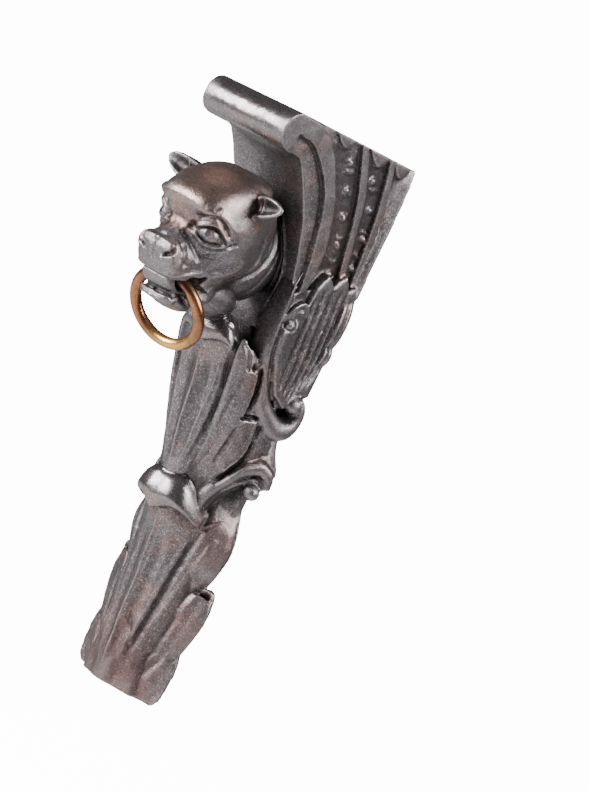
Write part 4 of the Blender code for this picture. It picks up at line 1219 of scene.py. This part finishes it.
polished = round_spots(tree, times(tree, near(tree, (4, 108, 54), 20, 8), 0.5),
                       [((2, 41, 201), 17, 5), ((4, 64, 114), 13, 5), ((0, 104, 8), 24, 5)])
roughness = maths(tree, "ADD", 0.26, times(tree, patina["Sheen"], 0.20))
roughness = maths(tree, "SUBTRACT", roughness, times(tree, polished, 0.10))
height = times(tree, grit["Height"], inverse(tree, times(tree, polished, 0.75)))
finish_surface(tree, 0.9, 0.9, colour, roughness, height)

tree = shader_tree(copper)
grit, patina = use_group(tree, grain, 0.8), use_group(tree, cloud, 0.45)
colour = coats(tree, (0.17, 0.070, 0.033, 1), [
    ((0.25, 0.115, 0.042), patina["Cool"], 1.0),
    ((0.07, 0.036, 0.026), patina["Warm"], 0.85),
    ((0.52, 0.30, 0.08), near(tree, (4, 84, 128), 10, 9), 0.65),  # handled bright below the jaw
    ((0.07, 0.045, 0.038), grit["Speckle"], 0.35),
])
roughness = maths(tree, "ADD", 0.14, times(tree, patina["Sheen"], 0.28))
finish_surface(tree, 0.92, 0.25, colour, roughness, grit["Height"])

for piece, metal in ((casting, iron), (ring, copper)):
    piece.data.materials.clear()
    piece.data.materials.append(metal)
print("finishes mixed:", iron.name, copper.name)

# %% [markdown]
# ## Studio
# A pale floor, a white surround and two soft lamps. The camera looks from the right and leans to
# one side, so that the long object lies across the frame.

# %% Floor, world, lamps and camera
BACKDROP, SURROUND = 14.0, 0.13  # how bright the white looks, and how much light it gives
FLOOR_HALF, FLOOR_LEVEL = 30, -0.6  # metres
LENS, SENSOR = 136.5, 36
AZIMUTH, PITCH, LEAN = math.radians(37), math.radians(4.033), math.radians(26.5)
CAMERA_PLACE = (0.94849, -1.22882, 0.05313)
LAMP_DISTANCE = 1.2


def white_when_seen(tree, strength):
    """A strength for white light that only the camera sees at full brightness."""
    seen = tree.nodes.new("ShaderNodeLightPath").outputs["Is Camera Ray"]
    return maths(tree, "ADD", strength, times(tree, seen, BACKDROP))


corners = [(x * FLOOR_HALF, y * FLOOR_HALF, FLOOR_LEVEL) for x, y in ((-1, -1), (1, -1), (1, 1), (-1, 1))]
floor = mesh_object("floor", np.array(corners), [[0, 1, 2, 3]])
pale = bpy.data.materials.new("pale_floor")
tree = shader_tree(pale)
shader = tree.nodes["Principled BSDF"].inputs
shader["Base Color"].default_value = (0.9, 0.9, 0.9, 1)
shader["Roughness"].default_value = 0.8
shader["Emission Color"].default_value = (1, 1, 1, 1)
tree.links.new(white_when_seen(tree, 0.0), shader["Emission Strength"])
floor.data.materials.append(pale)

world = bpy.data.worlds.new("studio")
bpy.context.scene.world = world
tree = shader_tree(world)
background = tree.nodes["Background"].inputs
background["Color"].default_value = (1, 1, 1, 1)
tree.links.new(white_when_seen(tree, SURROUND), background["Strength"])

camera = in_scene("camera", bpy.data.cameras.new("camera"))
right = Vector((math.cos(AZIMUTH), math.sin(AZIMUTH), 0))
ahead = Vector((-math.sin(AZIMUTH), math.cos(AZIMUTH), 0))
above = Vector((0, 0, 1)) * math.cos(PITCH) + ahead * math.sin(PITCH)
forward = ahead * math.cos(PITCH) - Vector((0, 0, 1)) * math.sin(PITCH)
seen_right = right * math.cos(LEAN) + above * math.sin(LEAN)
seen_up = above * math.cos(LEAN) - right * math.sin(LEAN)
pose = Matrix((seen_right, seen_up, -forward)).transposed().to_4x4()
pose.translation = Vector(CAMERA_PLACE)
camera.matrix_world = pose
camera.data.lens = LENS
camera.data.sensor_width = SENSOR
bpy.context.scene.camera = camera


def lamp(name, toward, size, power):
    """A soft square lamp, placed by its direction in the camera's own right, up and back."""
    light = in_scene(name, bpy.data.lights.new(name, "AREA"))
    light.data.size = size
    light.data.energy = power
    direction = (seen_right * toward[0] + seen_up * toward[1] - forward * toward[2]).normalized()
    light.location = direction * LAMP_DISTANCE
    light.rotation_euler = direction.to_track_quat("Z", "Y").to_euler()


lamp("key", (-0.8, 0.6, 0.45), 0.65, 62)
lamp("side", (0.95, 0.1, 0.4), 0.6, 48)
print("studio set")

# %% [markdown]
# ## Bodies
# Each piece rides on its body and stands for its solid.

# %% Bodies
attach(casting, "corbel")
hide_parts("corbel_casting")
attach(ring, "ring")
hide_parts("mouth_ring")
